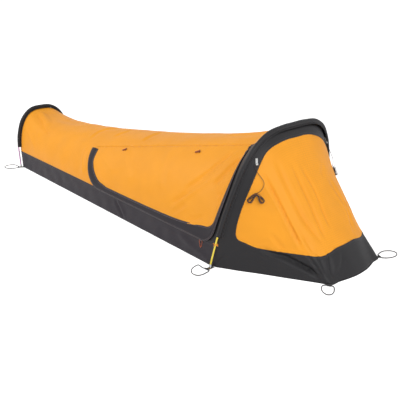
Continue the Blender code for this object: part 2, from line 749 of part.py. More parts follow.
def skirts():
    """Side skirts from the ground to the seam, and the foot skirt between them."""
    x = np.linspace(0.5 * SEAM_GAP, LENGTH - 0.5 * SEAM_GAP, 15)
    u = x / LENGTH
    near = np.concatenate([np.stack([x, -skirt_length(u)], -1), np.stack([x, 0 * x - 0.5 * SEAM_GAP], -1)[::-1]])
    cloth("skirt_near", body_skin, [near], FLOOR, SKIRT)
    total = arc_length(u)
    far = np.concatenate([np.stack([x, total + skirt_length(u)], -1),
                          np.stack([x, total + 0.5 * SEAM_GAP], -1)[::-1]])
    cloth("skirt_far", body_skin, [far], FLOOR, SKIRT)


def foot_plane(p):
    """Foot hoop's plane, at (side, slant height)."""
    points = to_space(0 * p[:, 0], p[:, 0], p[:, 1])
    out = np.array([-math.cos(FOOT_LEAN), 0, math.sin(FOOT_LEAN)])
    return points, np.broadcast_to(out, points.shape)


def foot_panels():
    """Flat end wall in the foot hoop, and the skirt under it, both set between the side panels."""
    b = HOOP_B[0]
    y, h = section(np.zeros(len(b)), b)
    _, direction = body_skin(np.stack([0 * b, b], -1))
    inset = CLOTH + END_INSET
    loop = np.stack([y - direction[:, 1] * inset, h - direction[:, 2] / math.cos(FOOT_LEAN) * inset], -1)
    seam = SEAM_Z_FOOT + 0.5 * SEAM_GAP
    loop[0, 1] = seam
    loop[-1, 1] = seam
    side = SEAM_FOOT - SKIRT - END_INSET
    loop[0, 0] = -side
    loop[-1, 0] = side
    cloth("foot_end_panel", foot_plane, [loop], ORANGE, CLOTH, origin=(FOOT_X, 0, SEAM_Z_FOOT))
    low = BASE_FOOT - SKIRT - END_INSET
    seam = SEAM_Z_FOOT - 0.5 * SEAM_GAP
    skirt = np.array([[-low, 0], [low, 0], [side, seam], [-side, seam]])
    cloth("skirt_foot", foot_plane, [skirt], FLOOR, SKIRT)


def porch_low_stations():
    """Hoop lengths at which the porch's ground edge and the floor have a corner, up to the middle."""
    bend = SHOULDER + 0.033 * np.linspace(-1, 1, 9)
    return np.concatenate([np.linspace(PORCH_START, bend[0], 11)[:-1], bend,
                           np.linspace(bend[-1], 0.5 * HOOP_LENGTH, 7)[1:]])


def ground_run(near):
    corner, middle = ground_lengths()
    return curve(((0, 0), (SHOULDER, corner), (0.5 * HOOP_LENGTH, middle)), near)


def floor_line(inset):
    """Outline of the floor, set in from the skirts' outer faces and further in from the sloping porch."""
    x, y, dx, dy = ground_line(ground_run(porch_low_stations()))
    deep = inset + PORCH_FLOOR_INSET * dx
    near = np.stack([x - dx * deep, y - dy * deep], -1)
    foot = np.array([[FOOT_X + inset, -(BASE_FOOT - inset)]])
    near = np.concatenate([foot, near])
    far = near[::-1][1:] * np.array([1, -1])
    return np.concatenate([near, far])


def floor_plane(p):
    points = np.stack([p[:, 0], p[:, 1], np.full(len(p), SKIRT)], -1)
    return points, np.broadcast_to(np.array([0, 0, 1.0]), points.shape)


def groundsheet():
    cloth("groundsheet", floor_plane, [floor_line(SKIRT + SEAM_GAP)], FLOOR, SKIRT, step=0.35)


def body_cloth():
    beside = polyline_offset(ZIP_LINE, -CHAIN_WIDTH - 0.002)
    cloth("canopy", body_skin, [canopy_outline()], ORANGE, guides=list(beside[1:9]))
    cloth("body_hoop_band", body_skin, [strip_outline()], DARK, step=0.5 * STEP, guides=list(beside[ZIP_BEND + 2:-1]))


# Porch


PORCH_SCALE = np.array([1.0, 0.6])


def window_loop():
    """Outline of the porch's orange panel, in the porch skin's scaled coordinates."""
    length = np.linspace(0.01, 0.5 * HOOP_LENGTH, 400)
    share = skirt_share(length, PORCH_SKIRT)
    first = length[np.argmax(share > band_share(length))]
    side = np.linspace(first, HOOP_LENGTH - first, 33)
    arch_edge = np.stack([side, band_share(side)], -1)
    low = np.linspace(first, HOOP_LENGTH - first, 27)[1:-1]
    low_edge = np.stack([low, skirt_share(low, PORCH_SKIRT)], -1)
    loop = np.concatenate([arch_edge, low_edge[::-1]])
    loop = round_corner(loop * PORCH_SCALE, arch_edge[0] * PORCH_SCALE, WINDOW_CORNER)
    return round_corner(loop, arch_edge[-1] * PORCH_SCALE, WINDOW_CORNER)


def loop_offset(loop, distance):
    """Closed loop moved to its left at every corner."""
    tangent = unit(unit(np.roll(loop, -1, axis=0) - loop) + unit(loop - np.roll(loop, 1, axis=0)))
    return loop + np.stack([-tangent[:, 1], tangent[:, 0]], -1) * distance


def porch_cloth():
    leg = np.array([PORCH_START, 0.5 * (PORCH_START + HOOP_SKIRT)])
    length = np.concatenate([leg, HOOP_B[1] + HOOP_SKIRT, HOOP_LENGTH - leg[::-1]])
    top = np.stack([length, 0.5 * SEAM_GAP / ruling(length)], -1)
    length = porch_low_stations()
    length = np.concatenate([length[:-1], HOOP_LENGTH - length[::-1]])[::-1]
    low = np.stack([length, 0 * length + 1], -1)
    window = window_loop()
    cloth("porch_surround", porch_skin, [np.concatenate([top, low]), loop_offset(window, -CUT_GAP) / PORCH_SCALE],
          DARK, scale=PORCH_SCALE)
    cloth("porch_canopy", porch_skin, [window / PORCH_SCALE], ORANGE, scale=PORCH_SCALE)


# Hoops


def hoop_plane(u):
    """The hoop's foot on the ground's centre line, its plane's normal, and its way up."""
    tilt = float(lean(u))
    return (np.array([FOOT_X + LENGTH * u, 0, 0]), np.array([math.cos(tilt), 0, -math.sin(tilt)]),
            np.array([math.sin(tilt), 0, math.cos(tilt)]))


POLE_PRESS = (SLEEVE_R - SLEEVE_WALL - POLE_R) * math.cos(math.pi / POLE_SIDES) - SEAM_GAP


def arch_points(u, offset):
    """The hoop's stations at a distance outside the skin."""
    b = HOOP_B[u]
    points, direction = body_skin(np.stack([np.full(len(b), LENGTH * u), b], -1))
    return points + direction * offset


def pole_path(u, span):
    """Pole from tube end to tube end: legs from the ground and the arch inside the sleeve."""
    base, _, _ = hoop_plane(u)
    arch_run = arch_points(u, SLEEVE_R + SEAM_GAP + POLE_PRESS)
    near = base + np.array([0, -span, 0])
    start = near + unit(arch_run[0] - near) * TIP_LENGTH
    half = np.stack([start, 0.5 * (start + arch_run[0])])
    far = half[::-1] * np.array([1, -1, 1])
    return np.concatenate([half, arch_run, far])


def tangents(points):
    step = unit(np.diff(points, axis=0))
    inner = unit(step[1:] + step[:-1])
    return np.concatenate([step[:1], inner, step[-1:]])


def pole_rings(points, along, normal, radius):
    return [circle(c, normal, np.cross(normal, t), radius, POLE_SIDES) for c, t in zip(points, along)]


def pole_sections(name, u, span, count, finish):
    """Tubes with a ferrule glued in one end, each ferrule standing in the next tube's bore."""
    path = pole_path(u, span)
    step = unit(np.diff(path, axis=0))
    along = tangents(path)
    _, normal, _ = hoop_plane(u)
    joints = [round(k * (len(path) - 1) / count) for k in range(count + 1)]
    ring = lambda c, t, r: circle(c, normal, np.cross(normal, t), r, POLE_SIDES)
    for i in range(count):
        a, b = joints[i], joints[i + 1]
        centres = list(path[a + 1:b + 1])
        ways = list(along[a + 1:b + 1])
        if i == 0:
            centres.insert(0, path[0])
            ways.insert(0, along[0])
        else:
            centres.insert(0, path[a] + step[a] * (0.006 + 0.5 * SEAM_GAP))
            ways.insert(0, step[a])
        if i < count - 1:
            end = path[b] + step[b] * (0.006 - 0.5 * SEAM_GAP)
            tail = [ring(end, step[b], POLE_R), ring(end, step[b], FERRULE_R),
                    ring(end + step[b] * 0.030, step[b], FERRULE_R),
                    ring(end + step[b] * 0.030, step[b], FERRULE_BORE),
                    ring(end - step[b] * 0.004, step[b], FERRULE_BORE),
                    ring(end - step[b] * 0.004, step[b], POLE_BORE)]
        else:
            tail = []
        outer = pole_rings(centres, ways, normal, POLE_R)
        bore = pole_rings(centres[::-1], ways[::-1], normal, POLE_BORE)
        rings_solid(f"{name}_pole_{i + 1}", outer + tail + bore, finish, closed=True)


def shock_cord(name, u, span):
    path = pole_path(u, span)
    step = unit(np.diff(path, axis=0))
    _, normal, _ = hoop_plane(u)
    path[0] = path[0] + step[0] * (0.0035 + SEAM_GAP)
    path[-1] = path[-1] - step[-1] * (0.0035 + SEAM_GAP)
    rings = [circle(c, normal, np.cross(normal, t), SHOCK_CORD_R, 6) for c, t in zip(path, tangents(path))]
    rings_solid(f"{name}_shock_cord", rings, CORD)


def pole_tips(name, u, span):
    """Turned tip: a pin down through the grommet, a collar, and a socketed spigot in the tube."""
    path = pole_path(u, span)
    base, normal, _ = hoop_plane(u)
    for side, start, way in (("near", path[0], path[1] - path[0]), ("far", path[-1], path[-2] - path[-1])):
        way = unit(way)
        sign = -1 if side == "near" else 1
        foot = base + np.array([0, sign * span, 0])
        x = np.array([1.0, 0, 0])
        y = np.array([0, 1.0, 0])
        flat = lambda z, r, c=foot: circle(c + np.array([0, 0, z]), x, y, r, POLE_SIDES)
        up = np.cross(normal, way)
        if up[1] < 0:
            up = -up
        tilted = lambda d, r: circle(start + way * d, normal, up, r, POLE_SIDES)
        top = GROMMET_TOP + SEAM_GAP
        leg = foot + way * (top / way[2])
        leg[2] = 0
        rings = [flat(0, 0.8 * TIP_PIN_R), flat(0.001, TIP_PIN_R), flat(top, TIP_PIN_R),
                 flat(top, TIP_COLLAR_R, leg), tilted(-0.008, TIP_COLLAR_R), tilted(-SEAM_GAP, POLE_R),
                 tilted(-SEAM_GAP, FERRULE_R), tilted(TIP_SPIGOT_LENGTH, FERRULE_R),
                 tilted(TIP_SPIGOT_LENGTH, 0.6 * FERRULE_R), tilted(0.0035, 0.6 * FERRULE_R)]
        rings_solid(f"{name}_tip_{side}", rings, STEEL)


def sleeve(name, u):
    points = arch_points(u, SLEEVE_R + SEAM_GAP)[1:-1]
    _, normal, _ = hoop_plane(u)
    along = tangents(points)
    outer = pole_rings(points, along, normal, SLEEVE_R)
    inner = pole_rings(points[::-1], along[::-1], normal, SLEEVE_R - SLEEVE_WALL)
    rings_solid(f"{name}_sleeve", outer + inner, DARK, closed=True)


def clips():
    """Snap ring on each leg of the head pole, with a tongue to the tent's seam."""
    path = pole_path(1, TIP_HEAD)
    _, normal, up = hoop_plane(1)
    for side, a, b, sign in (("near", path[1], path[2], -1), ("far", path[-2], path[-3], 1)):
        way = unit(b - a)
        height = CLIP_HEIGHT / way[2]
        centre = a + way * ((CLIP_HEIGHT - a[2]) / way[2])
        inward = unit(np.cross(normal, way)) * 1.0
        if inward[1] * sign > 0:
            inward = -inward
        reach = abs(centre[1]) - SEAM_HEAD - SEAM_GAP
        open_angle = math.degrees(math.asin(CLIP_TONGUE / CLIP_R))
        ring = arc_points((0, 0), CLIP_R, open_angle, 360 - open_angle, 14)
        outline = np.concatenate([ring, [[reach, -CLIP_TONGUE], [reach, CLIP_TONGUE]]])
        hole = arc_points((0, 0), CLIP_BORE, 22.5, 382.5, 9)[:-1]
        prism(f"pole_clip_{side}", [outline, hole], (centre, inward, normal, way), CLIP_DEPTH, CLIP)


# Peg points

GROMMET_LOW = GROMMET_FLANGE + SEAM_GAP
GROMMET_TOP = GROMMET_LOW + TAB_THICK + SEAM_GAP + GROMMET_FLANGE
EYE_HEIGHT = TAB_EYE_R + 0.0001


def eye_tab(name, frame, root, low, thick, radius, bore, width, finish):
    """Strap with a rolled eye at its end: the frame's base is the eye's foot, its first axis points outward."""
    centre = (0.0, radius + low * 0.05)
    first = math.degrees(math.asin(max((low - centre[1]) / radius, -0.98)))
    second = math.degrees(math.asin((low + thick - centre[1]) / radius))
    ring = arc_points(centre, radius, -180 - first, 180 - second, 13)
    outline = np.concatenate([[[-root, low]], ring, [[-root, low + thick]]])
    hole = arc_points(centre, bore, 22.5, 382.5, 9)[:-1] 
    return prism(name, [outline, hole], frame, width, finish)


def cutter(name, centre, axis, radius, length):
    """Round cutter, never built itself."""
    axis = unit(np.asarray(axis, float))
    across = unit(np.cross(axis, np.array([0.31, 0.53, 0.79])))
    up = np.cross(axis, across)
    rings = [circle(centre + axis * d, across, up, radius, 10) for d in (-0.5 * length, 0.5 * length)]
    obj = rings_solid(name, rings, STEEL)
    obj.hide_render = True
    obj.display_type = "WIRE"
    return obj


def drill(obj, tool):
    mod = obj.modifiers.new("hole", "BOOLEAN")
    mod.operation = "DIFFERENCE"
    mod.solver = "EXACT"
    mod.object = tool


def peg_places():
    """For each peg point: name, point that the tab starts from, outward direction, eye, pole tip, roll."""
    slope = math.atan2(BASE_HEAD - BASE_FRONT, PORCH)
    corner_run, _ = ground_lengths()
    x, y, dx, dy = ground_line(np.float64(corner_run))
    places = []
    for side, sign in (("near", -1), ("far", 1)):
        turned = np.array([-math.sin(FOOT_PEG_TURN), sign * math.cos(FOOT_PEG_TURN), 0])
        tip = np.array([FOOT_X, sign * TIP_FOOT, 0])
        wall = unit(np.array([-(BASE_HEAD - BASE_FOOT), sign * LENGTH, 0]))
        places.append((f"foot_{side}", np.array([FOOT_X, sign * BASE_FOOT, 0]), wall, turned,
                       tip + turned * TAB_REACH, tip, PEG_ROLL_OTHER))
        out = np.array([0, sign * 1.0, 0])
        tip = np.array([HEAD_X, sign * TIP_HEAD, 0])
        places.append((f"head_{side}", np.array([HEAD_X, sign * BASE_HEAD, 0]), out, out,
                       tip + out * TAB_REACH, tip, PEG_ROLL_HEAD))
        wall = np.array([float(dx), -sign * float(dy), 0])
        turned = np.array([math.sin(PORCH_PEG_TURN), sign * math.cos(PORCH_PEG_TURN), 0])
        root = np.array([float(x), -sign * float(y), 0])
        places.append((f"porch_{side}", root, wall, turned, root + turned * PORCH_TAB_REACH, None, PEG_ROLL_OTHER))
    return places


def peg_points():
    up = np.array([0, 0, 1.0])
    for name, root, wall, out, eye, tip, roll in peg_places():
        across = np.cross(out, up)
        tab = eye_tab(f"peg_tab_{name}", (eye, out, up, across), 0.03, GROMMET_LOW, TAB_THICK, TAB_EYE_R,
                      TAB_EYE_BORE, TAB_WIDTH, WEBBING)
        for v in tab.data.vertices:
            p = np.array(v.co)
            if np.dot(p - eye, out) < -0.025:
                t = np.dot(root + wall * SEAM_GAP - p, wall) / np.dot(out, wall)
                v.co = Vector([float(c) for c in p + out * t])
        if tip is not None:
            tool = cutter(f"hole_{name}", tip, up, GROMMET_BARREL_R + SEAM_GAP, 0.02)
            drill(tab, tool)
            grommet(f"grommet_{name}", tip)
        peg_loop(f"peg_loop_{name}", eye + up * EYE_HEIGHT, out, across, roll, -1 if "near" in name else 1)


def grommet(name, tip):
    profile = ((GROMMET_HOLE_R, 0), (GROMMET_FLANGE_R, 0), (GROMMET_FLANGE_R, GROMMET_FLANGE),
               (GROMMET_BARREL_R, GROMMET_FLANGE), (GROMMET_BARREL_R, GROMMET_TOP - GROMMET_FLANGE),
               (GROMMET_FLANGE_R, GROMMET_TOP - GROMMET_FLANGE), (GROMMET_FLANGE_R, GROMMET_TOP),
               (GROMMET_HOLE_R, GROMMET_TOP))
    rings = []
    for k in range(10):
        a = (k + 0.5) * 2 * math.pi / 10
        rings.append([tip + np.array([r * math.cos(a), r * math.sin(a), z]) for r, z in profile])
    rings_solid(name, rings, BRASS, closed=True)


def route(points, step, closed=False):
    """Even points along a smooth curve through hand-placed ones."""
    p = np.array(points, float)
    if closed:
        p = np.concatenate([p[-2:], p, p[:3]])
    t = np.concatenate([[0], np.cumsum(np.linalg.norm(np.diff(p, axis=0), axis=1))])
    slope = np.gradient(p, t, axis=0, edge_order=2 if len(p) > 2 else 1)
    fine = []
    for k in range(len(p) - 1):
        q = np.linspace(0, 1, 17)[:-1, None]
        gap = t[k + 1] - t[k]
        fine.append((2 * q**3 - 3 * q**2 + 1) * p[k] + (q**3 - 2 * q**2 + q) * gap * slope[k]
                    + (3 * q**2 - 2 * q**3) * p[k + 1] + (q**3 - q**2) * gap * slope[k + 1])
    if closed:
        fine = np.concatenate(fine[2:-2] + [p[2:3]])
        return resample(fine, step)[:-1]
    return resample(np.concatenate(fine + [p[-1:]]), step)


def cord(name, points, radius, finish, cyclic=False, bevel=2, origin=None):
    """Round cord as a bevelled curve."""
    shift = np.zeros(3) if origin is None else np.asarray(origin, float)
    data = bpy.data.curves.new(name, "CURVE")
    data.dimensions = "3D"
    data.bevel_depth = radius
    data.bevel_resolution = bevel
    data.use_fill_caps = not cyclic
    data.render_resolution_u = 0
    spline = data.splines.new("POLY")
    spline.points.add(len(points) - 1)
    for knot, at in zip(spline.points, points):
        knot.co = (*[float(c) for c in at - shift], 1)
    spline.use_cyclic_u = cyclic
    data.materials.append(finish)
    obj = bpy.data.objects.new(name, data)
    obj.location = Vector([float(c) for c in shift])
    bpy.context.scene.collection.objects.link(obj)
    return obj


def peg_loop(name, eye, out, across, roll, side):
    """Cord loop through the tab's eye, lying out on the ground with one side raised."""
    half = PEG_LOOP_HALF
    far = PEG_LOOP_LENGTH
    width = TAB_WIDTH / 2
    shape = [(0, 0), (0, width), (0.0012, width + 0.005), (0.0055, width + 0.010), (0.013, width + 0.0135),
             (0.030, half), (0.055, half), (0.83 * far, 0.77 * half), (0.96 * far, 0.37 * half), (far, 0)]
    shape += [(o, -a) for o, a in shape[-2:0:-1]]
    up = np.array([0, 0, 1.0])
    rest = PEG_CORD_R + 0.0006 - EYE_HEIGHT
    points = []
    for o, a in shape:
        w = float(ease(o / 0.030))
        z = blend(0, rest + half * math.sin(roll), w) - side * a * math.sin(roll * w)
        points.append(eye + out * o + across * a * math.cos(roll * w) + up * z)
    cord(name, route(points, 0.0082, closed=True), PEG_CORD_R, CORD, cyclic=True, origin=eye)


# Guy lines


def skin_frame(skin, a, b):
    """Point, true outward normal and the two tangents towards growing a and b."""
    tiny = 0.004
    p, d = skin(np.array([a, b], float))
    pa = skin(np.array([a + tiny, b]))[0] - skin(np.array([a - tiny, b]))[0]
    pb = skin(np.array([a, b + tiny]))[0] - skin(np.array([a, b - tiny]))[0]
    n = unit(np.cross(pa, pb))
    if np.dot(n, d) < 0:
        n = -n
    return p, n, unit(pa), unit(pb)


def guy_place():
    """The near guy tab's point on the porch, with its normal, its way down and across."""
    v = GUY_BAND / float(ruling(np.array([GUY_L]))[0])
    p, n, _, _ = skin_frame(porch_skin, GUY_L, v)
    down = unit(-np.array([0, 0, 1.0]) + n * n[2])
    return p, n, down, np.cross(down, n)


def mirror(points):
    return np.asarray(points) * np.array([1, -1, 1])


def guys():
    p, n, down, across = guy_place()
    eye_foot = p + n * GUY_LIFT + down * 0.5 * GUY_TAB_LENGTH
    eye = eye_foot + n * GUY_EYE_R
    half = 0.5 * GUY_TAB_WIDTH
    at = lambda d, a, h: p + down * d + across * a + n * h
    p2, n2, _, _ = skin_frame(porch_skin, HANK_L, HANK_V)
    down2 = unit(-np.array([0, 0, 1.0]) + n2 * n2[2])
    across2 = np.cross(down2, n2)
    lift = GUY_CORD_R + HANK_LIFT
    hank = hank_points(lambda d, a, h: p2 + down2 * d + across2 * a + n2 * h, lift)
    start = hank[0] + unit(hank[0] - hank[1]) * 0.0004
    report_hank(hank)
    d0 = 0.5 * GUY_TAB_LENGTH
    e = GUY_LIFT + GUY_EYE_R
    line = [at(d0, -half - 0.004, e), at(d0, -half, e), at(d0, 0, e), at(d0, half, e),
            at(d0 + 0.003, half + 0.005, e), at(d0 + 0.010, half + 0.005, e), at(d0 + 0.025, 0.004, e)]
    back = unit(hank[0] - hank[1])
    entry = [start + back * 0.030 - down2 * 0.028 + n2 * 0.002, start + back * 0.012 - down2 * 0.003,
             start + back * 0.0005]
    line = route(line + entry, 0.0055)
    for side in ("near", "far"):
        flip = mirror if side == "far" else np.asarray
        b, ax, ay = flip(eye_foot), flip(down), flip(n)
        az = np.cross(ax, ay)
        eye_tab(f"guy_tab_{side}", (b, ax, ay, az), GUY_TAB_LENGTH - GUY_EYE_R, 0.0, GUY_TAB_THICK, GUY_EYE_R,
                GUY_EYE_BORE, GUY_TAB_WIDTH, WHITE)
        cord(f"guy_line_{side}", flip(line), GUY_CORD_R, CORD, origin=flip(eye))
        cord(f"guy_hank_{side}", flip(hank), GUY_CORD_R, CORD, bevel=1, origin=flip(eye))


def hank_points(at, lift):
    """Long flat loops of the tied line, folded over so that both ends hang down."""
    points = []
    a = HANK_HALF - HANK_END
    quarter = 0.5 * math.pi * HANK_END
    total = 4 * a + 4 * quarter
    for k in range(HANK_LOOPS * 24 + 1):
        turn = k / 24
        q = (turn % 1) * total
        if q < a or q >= 3 * a + 4 * quarter:
            s = q if q < a else q - total
            e = 1.0
        elif q < a + 2 * quarter:
            s = a + HANK_END * math.sin((q - a) / HANK_END)
            e = math.cos((q - a) / HANK_END)
        elif q < 3 * a + 2 * quarter:
            s = 2 * a + 2 * quarter - q
            e = -1.0
        else:
            s = -a - HANK_END * math.sin((q - 3 * a - 2 * quarter) / HANK_END)
            e = -math.cos((q - 3 * a - 2 * quarter) / HANK_END)
        narrow = min(abs(s) / a, 1)
        e = e * blend(HANK_WAIST, HANK_END, narrow**2)
        fold = math.radians(62) * math.tanh(s / 0.02)
        mid_d = HANK_END + 0.020 * (math.sqrt((s / 0.020) ** 2 + 1) - 1) * 0.88
        mid_a = 0.5 * s - 0.004 if s < 0 else 0.62 * s - 0.004
        points.append(at(mid_d - e * math.cos(fold), mid_a + e * math.sin(fold),
                         lift + HANK_PITCH * turn))
    return np.array(points)


def report_hank(points):
    """Least gap between turns of the hank's cord."""
    gap = 1.0
    for k in range(len(points)):
        far = np.abs(np.arange(len(points)) - k) > 4
        gap = min(gap, float(np.linalg.norm(points[far] - points[k], axis=1).min()))
    print(f"hank: least gap {(gap - 2 * GUY_CORD_R) * 1000:.2f} mm")


# Door


def door():
    mid = 0.5 * (HINGE_FOOT + HINGE_HEAD)
    line = ZIP_LINE[1:-1]
    flap = flap_rows(line[:-1])
    guide = np.concatenate([flap[:, -1], polyline_offset(line, CHAIN_WIDTH + 0.002)[-3:]])
    cloth("door_panel", body_skin, [door_outline()], ORANGE, step=0.8 * STEP, origin=mid, guides=list(guide))
    ribbon("door_zip_chain", line, ((CUT_GAP, 0), (CHAIN_WIDTH, 0)), CHAIN_LIFT + CHAIN_THICK, CHAIN_THICK, ZIP, mid)
    ribbon("body_zip_chain", line, ((-CHAIN_WIDTH, 0), (-CUT_GAP, 0)), CHAIN_LIFT + CHAIN_THICK, CHAIN_THICK, ZIP)
    rise = (FLAP_EDGE_LIFT, FLAP_BELLY - 0.0012, FLAP_BELLY, 0.6 * FLAP_BELLY, 2 * SEAM_GAP)
    ribbon("door_flap", line[:-1], tuple((0, r) for r in rise), FLAP_THICK, FLAP_THICK, ORANGE, mid, flap)
    slider()
    toggles(mid)


def ribbon(name, line, across, lift, thick, finish, origin=None, rows=None):
    """Strip along a line of the skin, through (sideways, extra lift) stations, or through rows of its points."""
    tangent = unit(np.gradient(line, axis=0))
    left = np.stack([-tangent[:, 1], tangent[:, 0]], -1)
    outer = []
    inner = []
    count = len(across)
    for j, (w, extra) in enumerate(across):
        p, d = body_skin(line + left * w if rows is None else rows[:, j])
        outer.append(p + d * (lift + extra))
        inner.append(p + d * (lift + extra - thick))
    outer = np.stack(outer, 1).reshape(-1, 3)
    inner = np.stack(inner, 1).reshape(-1, 3)
    tris = []
    for k in range(len(line) - 1):
        for j in range(count - 1):
            a = k * count + j
            tris += [(a, a + 1, a + count + 1), (a, a + count + 1, a + count)]
    solid, faces = thicken(outer, inner, np.array(tris))
    obj = make(name, solid, faces, finish, smooth=True, origin=origin)
    bm = bmesh.new()
    bm.from_mesh(obj.data)
    bmesh.ops.recalc_face_normals(bm, faces=bm.faces)
    bm.to_mesh(obj.data)
    bm.free()
    return obj


def flap_rows(line):
    """Rows of the storm flap across the zip line, from its free outer edge to its sewn inner one."""
    run = np.concatenate([[0], np.cumsum(np.linalg.norm(np.diff(line, axis=0), axis=1))])
    tangent = unit(np.gradient(line, axis=0))
    left = np.stack([-tangent[:, 1], tangent[:, 0]], -1)
    j_x = DOOR_FOOT_X + DOOR_J_LENGTH
    j_end = float(np.interp(j_x, line[: len(line) // 2, 0], run[: len(line) // 2]))
    up = j_end + LENGTH - ZIP_BACK - ZIP_CORNER - j_x + 1.57 * ZIP_CORNER
    outer = curve(((0, FLAP_OUT_TOP), (0.35 * j_end, FLAP_OUT_J), (0.9 * j_end, 1.3 * FLAP_OUT_LOW),
                   (j_end, FLAP_OUT_LOW), (up - ZIP_CORNER, FLAP_OUT_LOW), (up + 0.5 * ZIP_CORNER, FLAP_OUT_UP),
                   (run[-1], FLAP_OUT_UP)), run)
    corner_x = LENGTH - ZIP_BACK - FLAP_IN_UP - FLAP_CORNER
    low = ((j_x + 0.06, FLAP_IN_LOW), (corner_x - 0.40, FLAP_IN_LOW + 0.002), (corner_x - 0.16, 0.64 * FLAP_IN_HEAD),
           (corner_x, FLAP_IN_HEAD))
    inner = curve(((0, FLAP_IN_TOP), (0.25 * j_end, FLAP_IN_TOP), (0.7 * j_end, FLAP_IN_J), (j_end, 0.84 * FLAP_IN_J),
                   (j_end + 0.06, FLAP_IN_LOW)), run)
    inner = np.where(run < j_end + 0.06, inner, np.where(run < up, curve(low, line[:, 0]), FLAP_IN_UP))
    edge = line + left * inner[:, None]
    a = np.linspace(0, 0.5 * math.pi, 8)
    turn = np.stack([corner_x + FLAP_CORNER * np.sin(a), FLAP_IN_HEAD + FLAP_CORNER * (1 - np.cos(a))], -1)
    x = np.linspace(corner_x - 0.13, corner_x, 8)[:-1]
    path = np.concatenate([np.stack([x, curve(low, x)], -1), turn])
    first = int(np.argmax((line[:, 0] > x[0]) & (run > j_end)))
    last = int(np.argmax((line[:, 1] > turn[-1, 1]) & (run > up)))
    along = np.concatenate([[0], np.cumsum(np.linalg.norm(np.diff(path, axis=0), axis=1))])
    at = (run[first:last] - run[first]) / (run[last] - run[first]) * along[-1]
    edge[first:last] = np.stack([np.interp(at, along, path[:, k]) for k in range(2)], -1)
    return np.stack([line - left * outer[:, None], line - left * (0.45 * outer)[:, None],
                     blend(line, edge, 0.15), blend(line, edge, 0.5), edge], 1)


def slider():
    """Slider over both chains on the straight seam, with an eye below it for the pull."""
    p = body_skin(np.array([SLIDER_X, 0.0]))[0]
    _, n, _, _ = skin_frame(body_skin, 0.5 * (DOOR_FOOT_X + DOOR_J_LENGTH + SLIDER_X), 0.0)
    a = body_skin(np.array([DOOR_FOOT_X + DOOR_J_LENGTH, 0.0]))[0]
    b = body_skin(np.array([LENGTH, 0.0]))[0]
    along = unit(b - a)
    out = unit(n - along * np.dot(n, along))
    up = np.cross(out, along)
    if up[2] < 0:
        up = -up
    side = CHAIN_WIDTH + 0.0005
    top = CHAIN_LIFT + CHAIN_THICK + 0.0005
    wall = 0.0012
    eye = (-side - wall - SLIDER_EYE_R + 0.0006, 0.0009 + SLIDER_EYE_R)
    ring = arc_points(eye, SLIDER_EYE_R, 75, 330, 8)
    outline = np.concatenate([[[side + wall, 0.0009], [side + wall, top + SLIDER_PLATE],
                               [-side - wall, top + SLIDER_PLATE]], ring,
                              [[-side, 0.0009], [-side, top], [side, top], [side, 0.0009]]])
    hole = arc_points(eye, SLIDER_EYE_BORE, 22.5, 382.5, 9)[:-1]
    prism("zip_slider", [outline, hole], (p, up, out, along), SLIDER_LENGTH, SLIDER, origin=p)
    centre = p + up * eye[0] + out * eye[1]
    half = 0.5 * SLIDER_LENGTH
    shape = [(0, 0), (0, half), (0.0006, half + 0.0014), (0.0026, half + 0.0024), (0.010, half + 0.0020),
             (0.020, 0.6 * PULL_HALF), (0.9 * PULL_LENGTH, 0.36 * PULL_HALF), (PULL_LENGTH, 0)]
    shape += [(o, -w) for o, w in shape[-2:0:-1]]
    rest = PULL_R + 0.0006 - eye[1]
    points = [centre - up * o + along * w + out * (rest * float(ease(o / 0.012)) + 0.032 * o) for o, w in shape]
    cord("zip_pull", route(points, 0.0036, closed=True), PULL_R, PULL, cyclic=True, bevel=1, origin=centre)


def toggle_frame(x, drop):
    """Toggle's upper end on the door, the cloth's normal, the toggle's way down and across."""
    p, n, px, pb = skin_frame(body_skin, x, hinge_b(x) - drop)
    level = unit(px - n * np.dot(px, n))
    rise = np.cross(n, level)
    if rise[2] < 0:
        rise = -rise
    way = -level * math.cos(TOGGLE_SLOPE) - rise * math.sin(TOGGLE_SLOPE)
    return p, n, way, np.cross(n, way)


def toggles(mid):
    for k, (x, drop) in enumerate(TOGGLES):
        p, n, way, across = toggle_frame(x, drop)
        low = LOOP_CORD_R + SEAM_GAP
        shape = [(0, 1), (0.55, 1), (0.92, 0.75), (1.0, 0.35), (0.8, 0.0), (0.3, 0.0)]
        shape += [(-a, h) for a, h in shape[::-1][:-1]]
        points = [p + across * a * LOOP_HALF + n * (low + h * LOOP_RISE) for a, h in shape]
        loop = route(points, 0.0030, closed=True)
        step = unit(np.roll(loop, -1, axis=0) - np.roll(loop, 1, axis=0))
        rings = [circle(c, way, np.cross(way, t), LOOP_CORD_R, 6) for c, t in zip(loop, step)]
        rings_solid(f"toggle_loop_{k + 1}", rings, CORD, closed=True, origin=mid)
        eye = p + n * (low + LOOP_RISE)
        tilt = math.asin((LOOP_RISE + low - TOGGLE_R - SEAM_GAP) / TOGGLE_LENGTH)
        lie = way * math.cos(tilt) - n * math.sin(tilt)
        up = np.cross(lie, across)
        stations = ((-0.0042, 0.6), (-0.0030, 0.9), (0.0, 1.0), (0.006, 1.0), (0.5 * TOGGLE_LENGTH, 1.0),
                    (TOGGLE_LENGTH - 0.0062, 1.0), (TOGGLE_LENGTH - 0.0048, 0.9), (TOGGLE_LENGTH - 0.004, 0.6))
        rings = [circle(eye + lie * d, across, up, TOGGLE_R * r, 8) for d, r in stations]
        bar = rings_solid(f"toggle_{k + 1}", rings, BROWN, origin=eye)
        drill(bar, cutter(f"toggle_hole_{k + 1}", eye, across, TOGGLE_HOLE_R, 0.02))


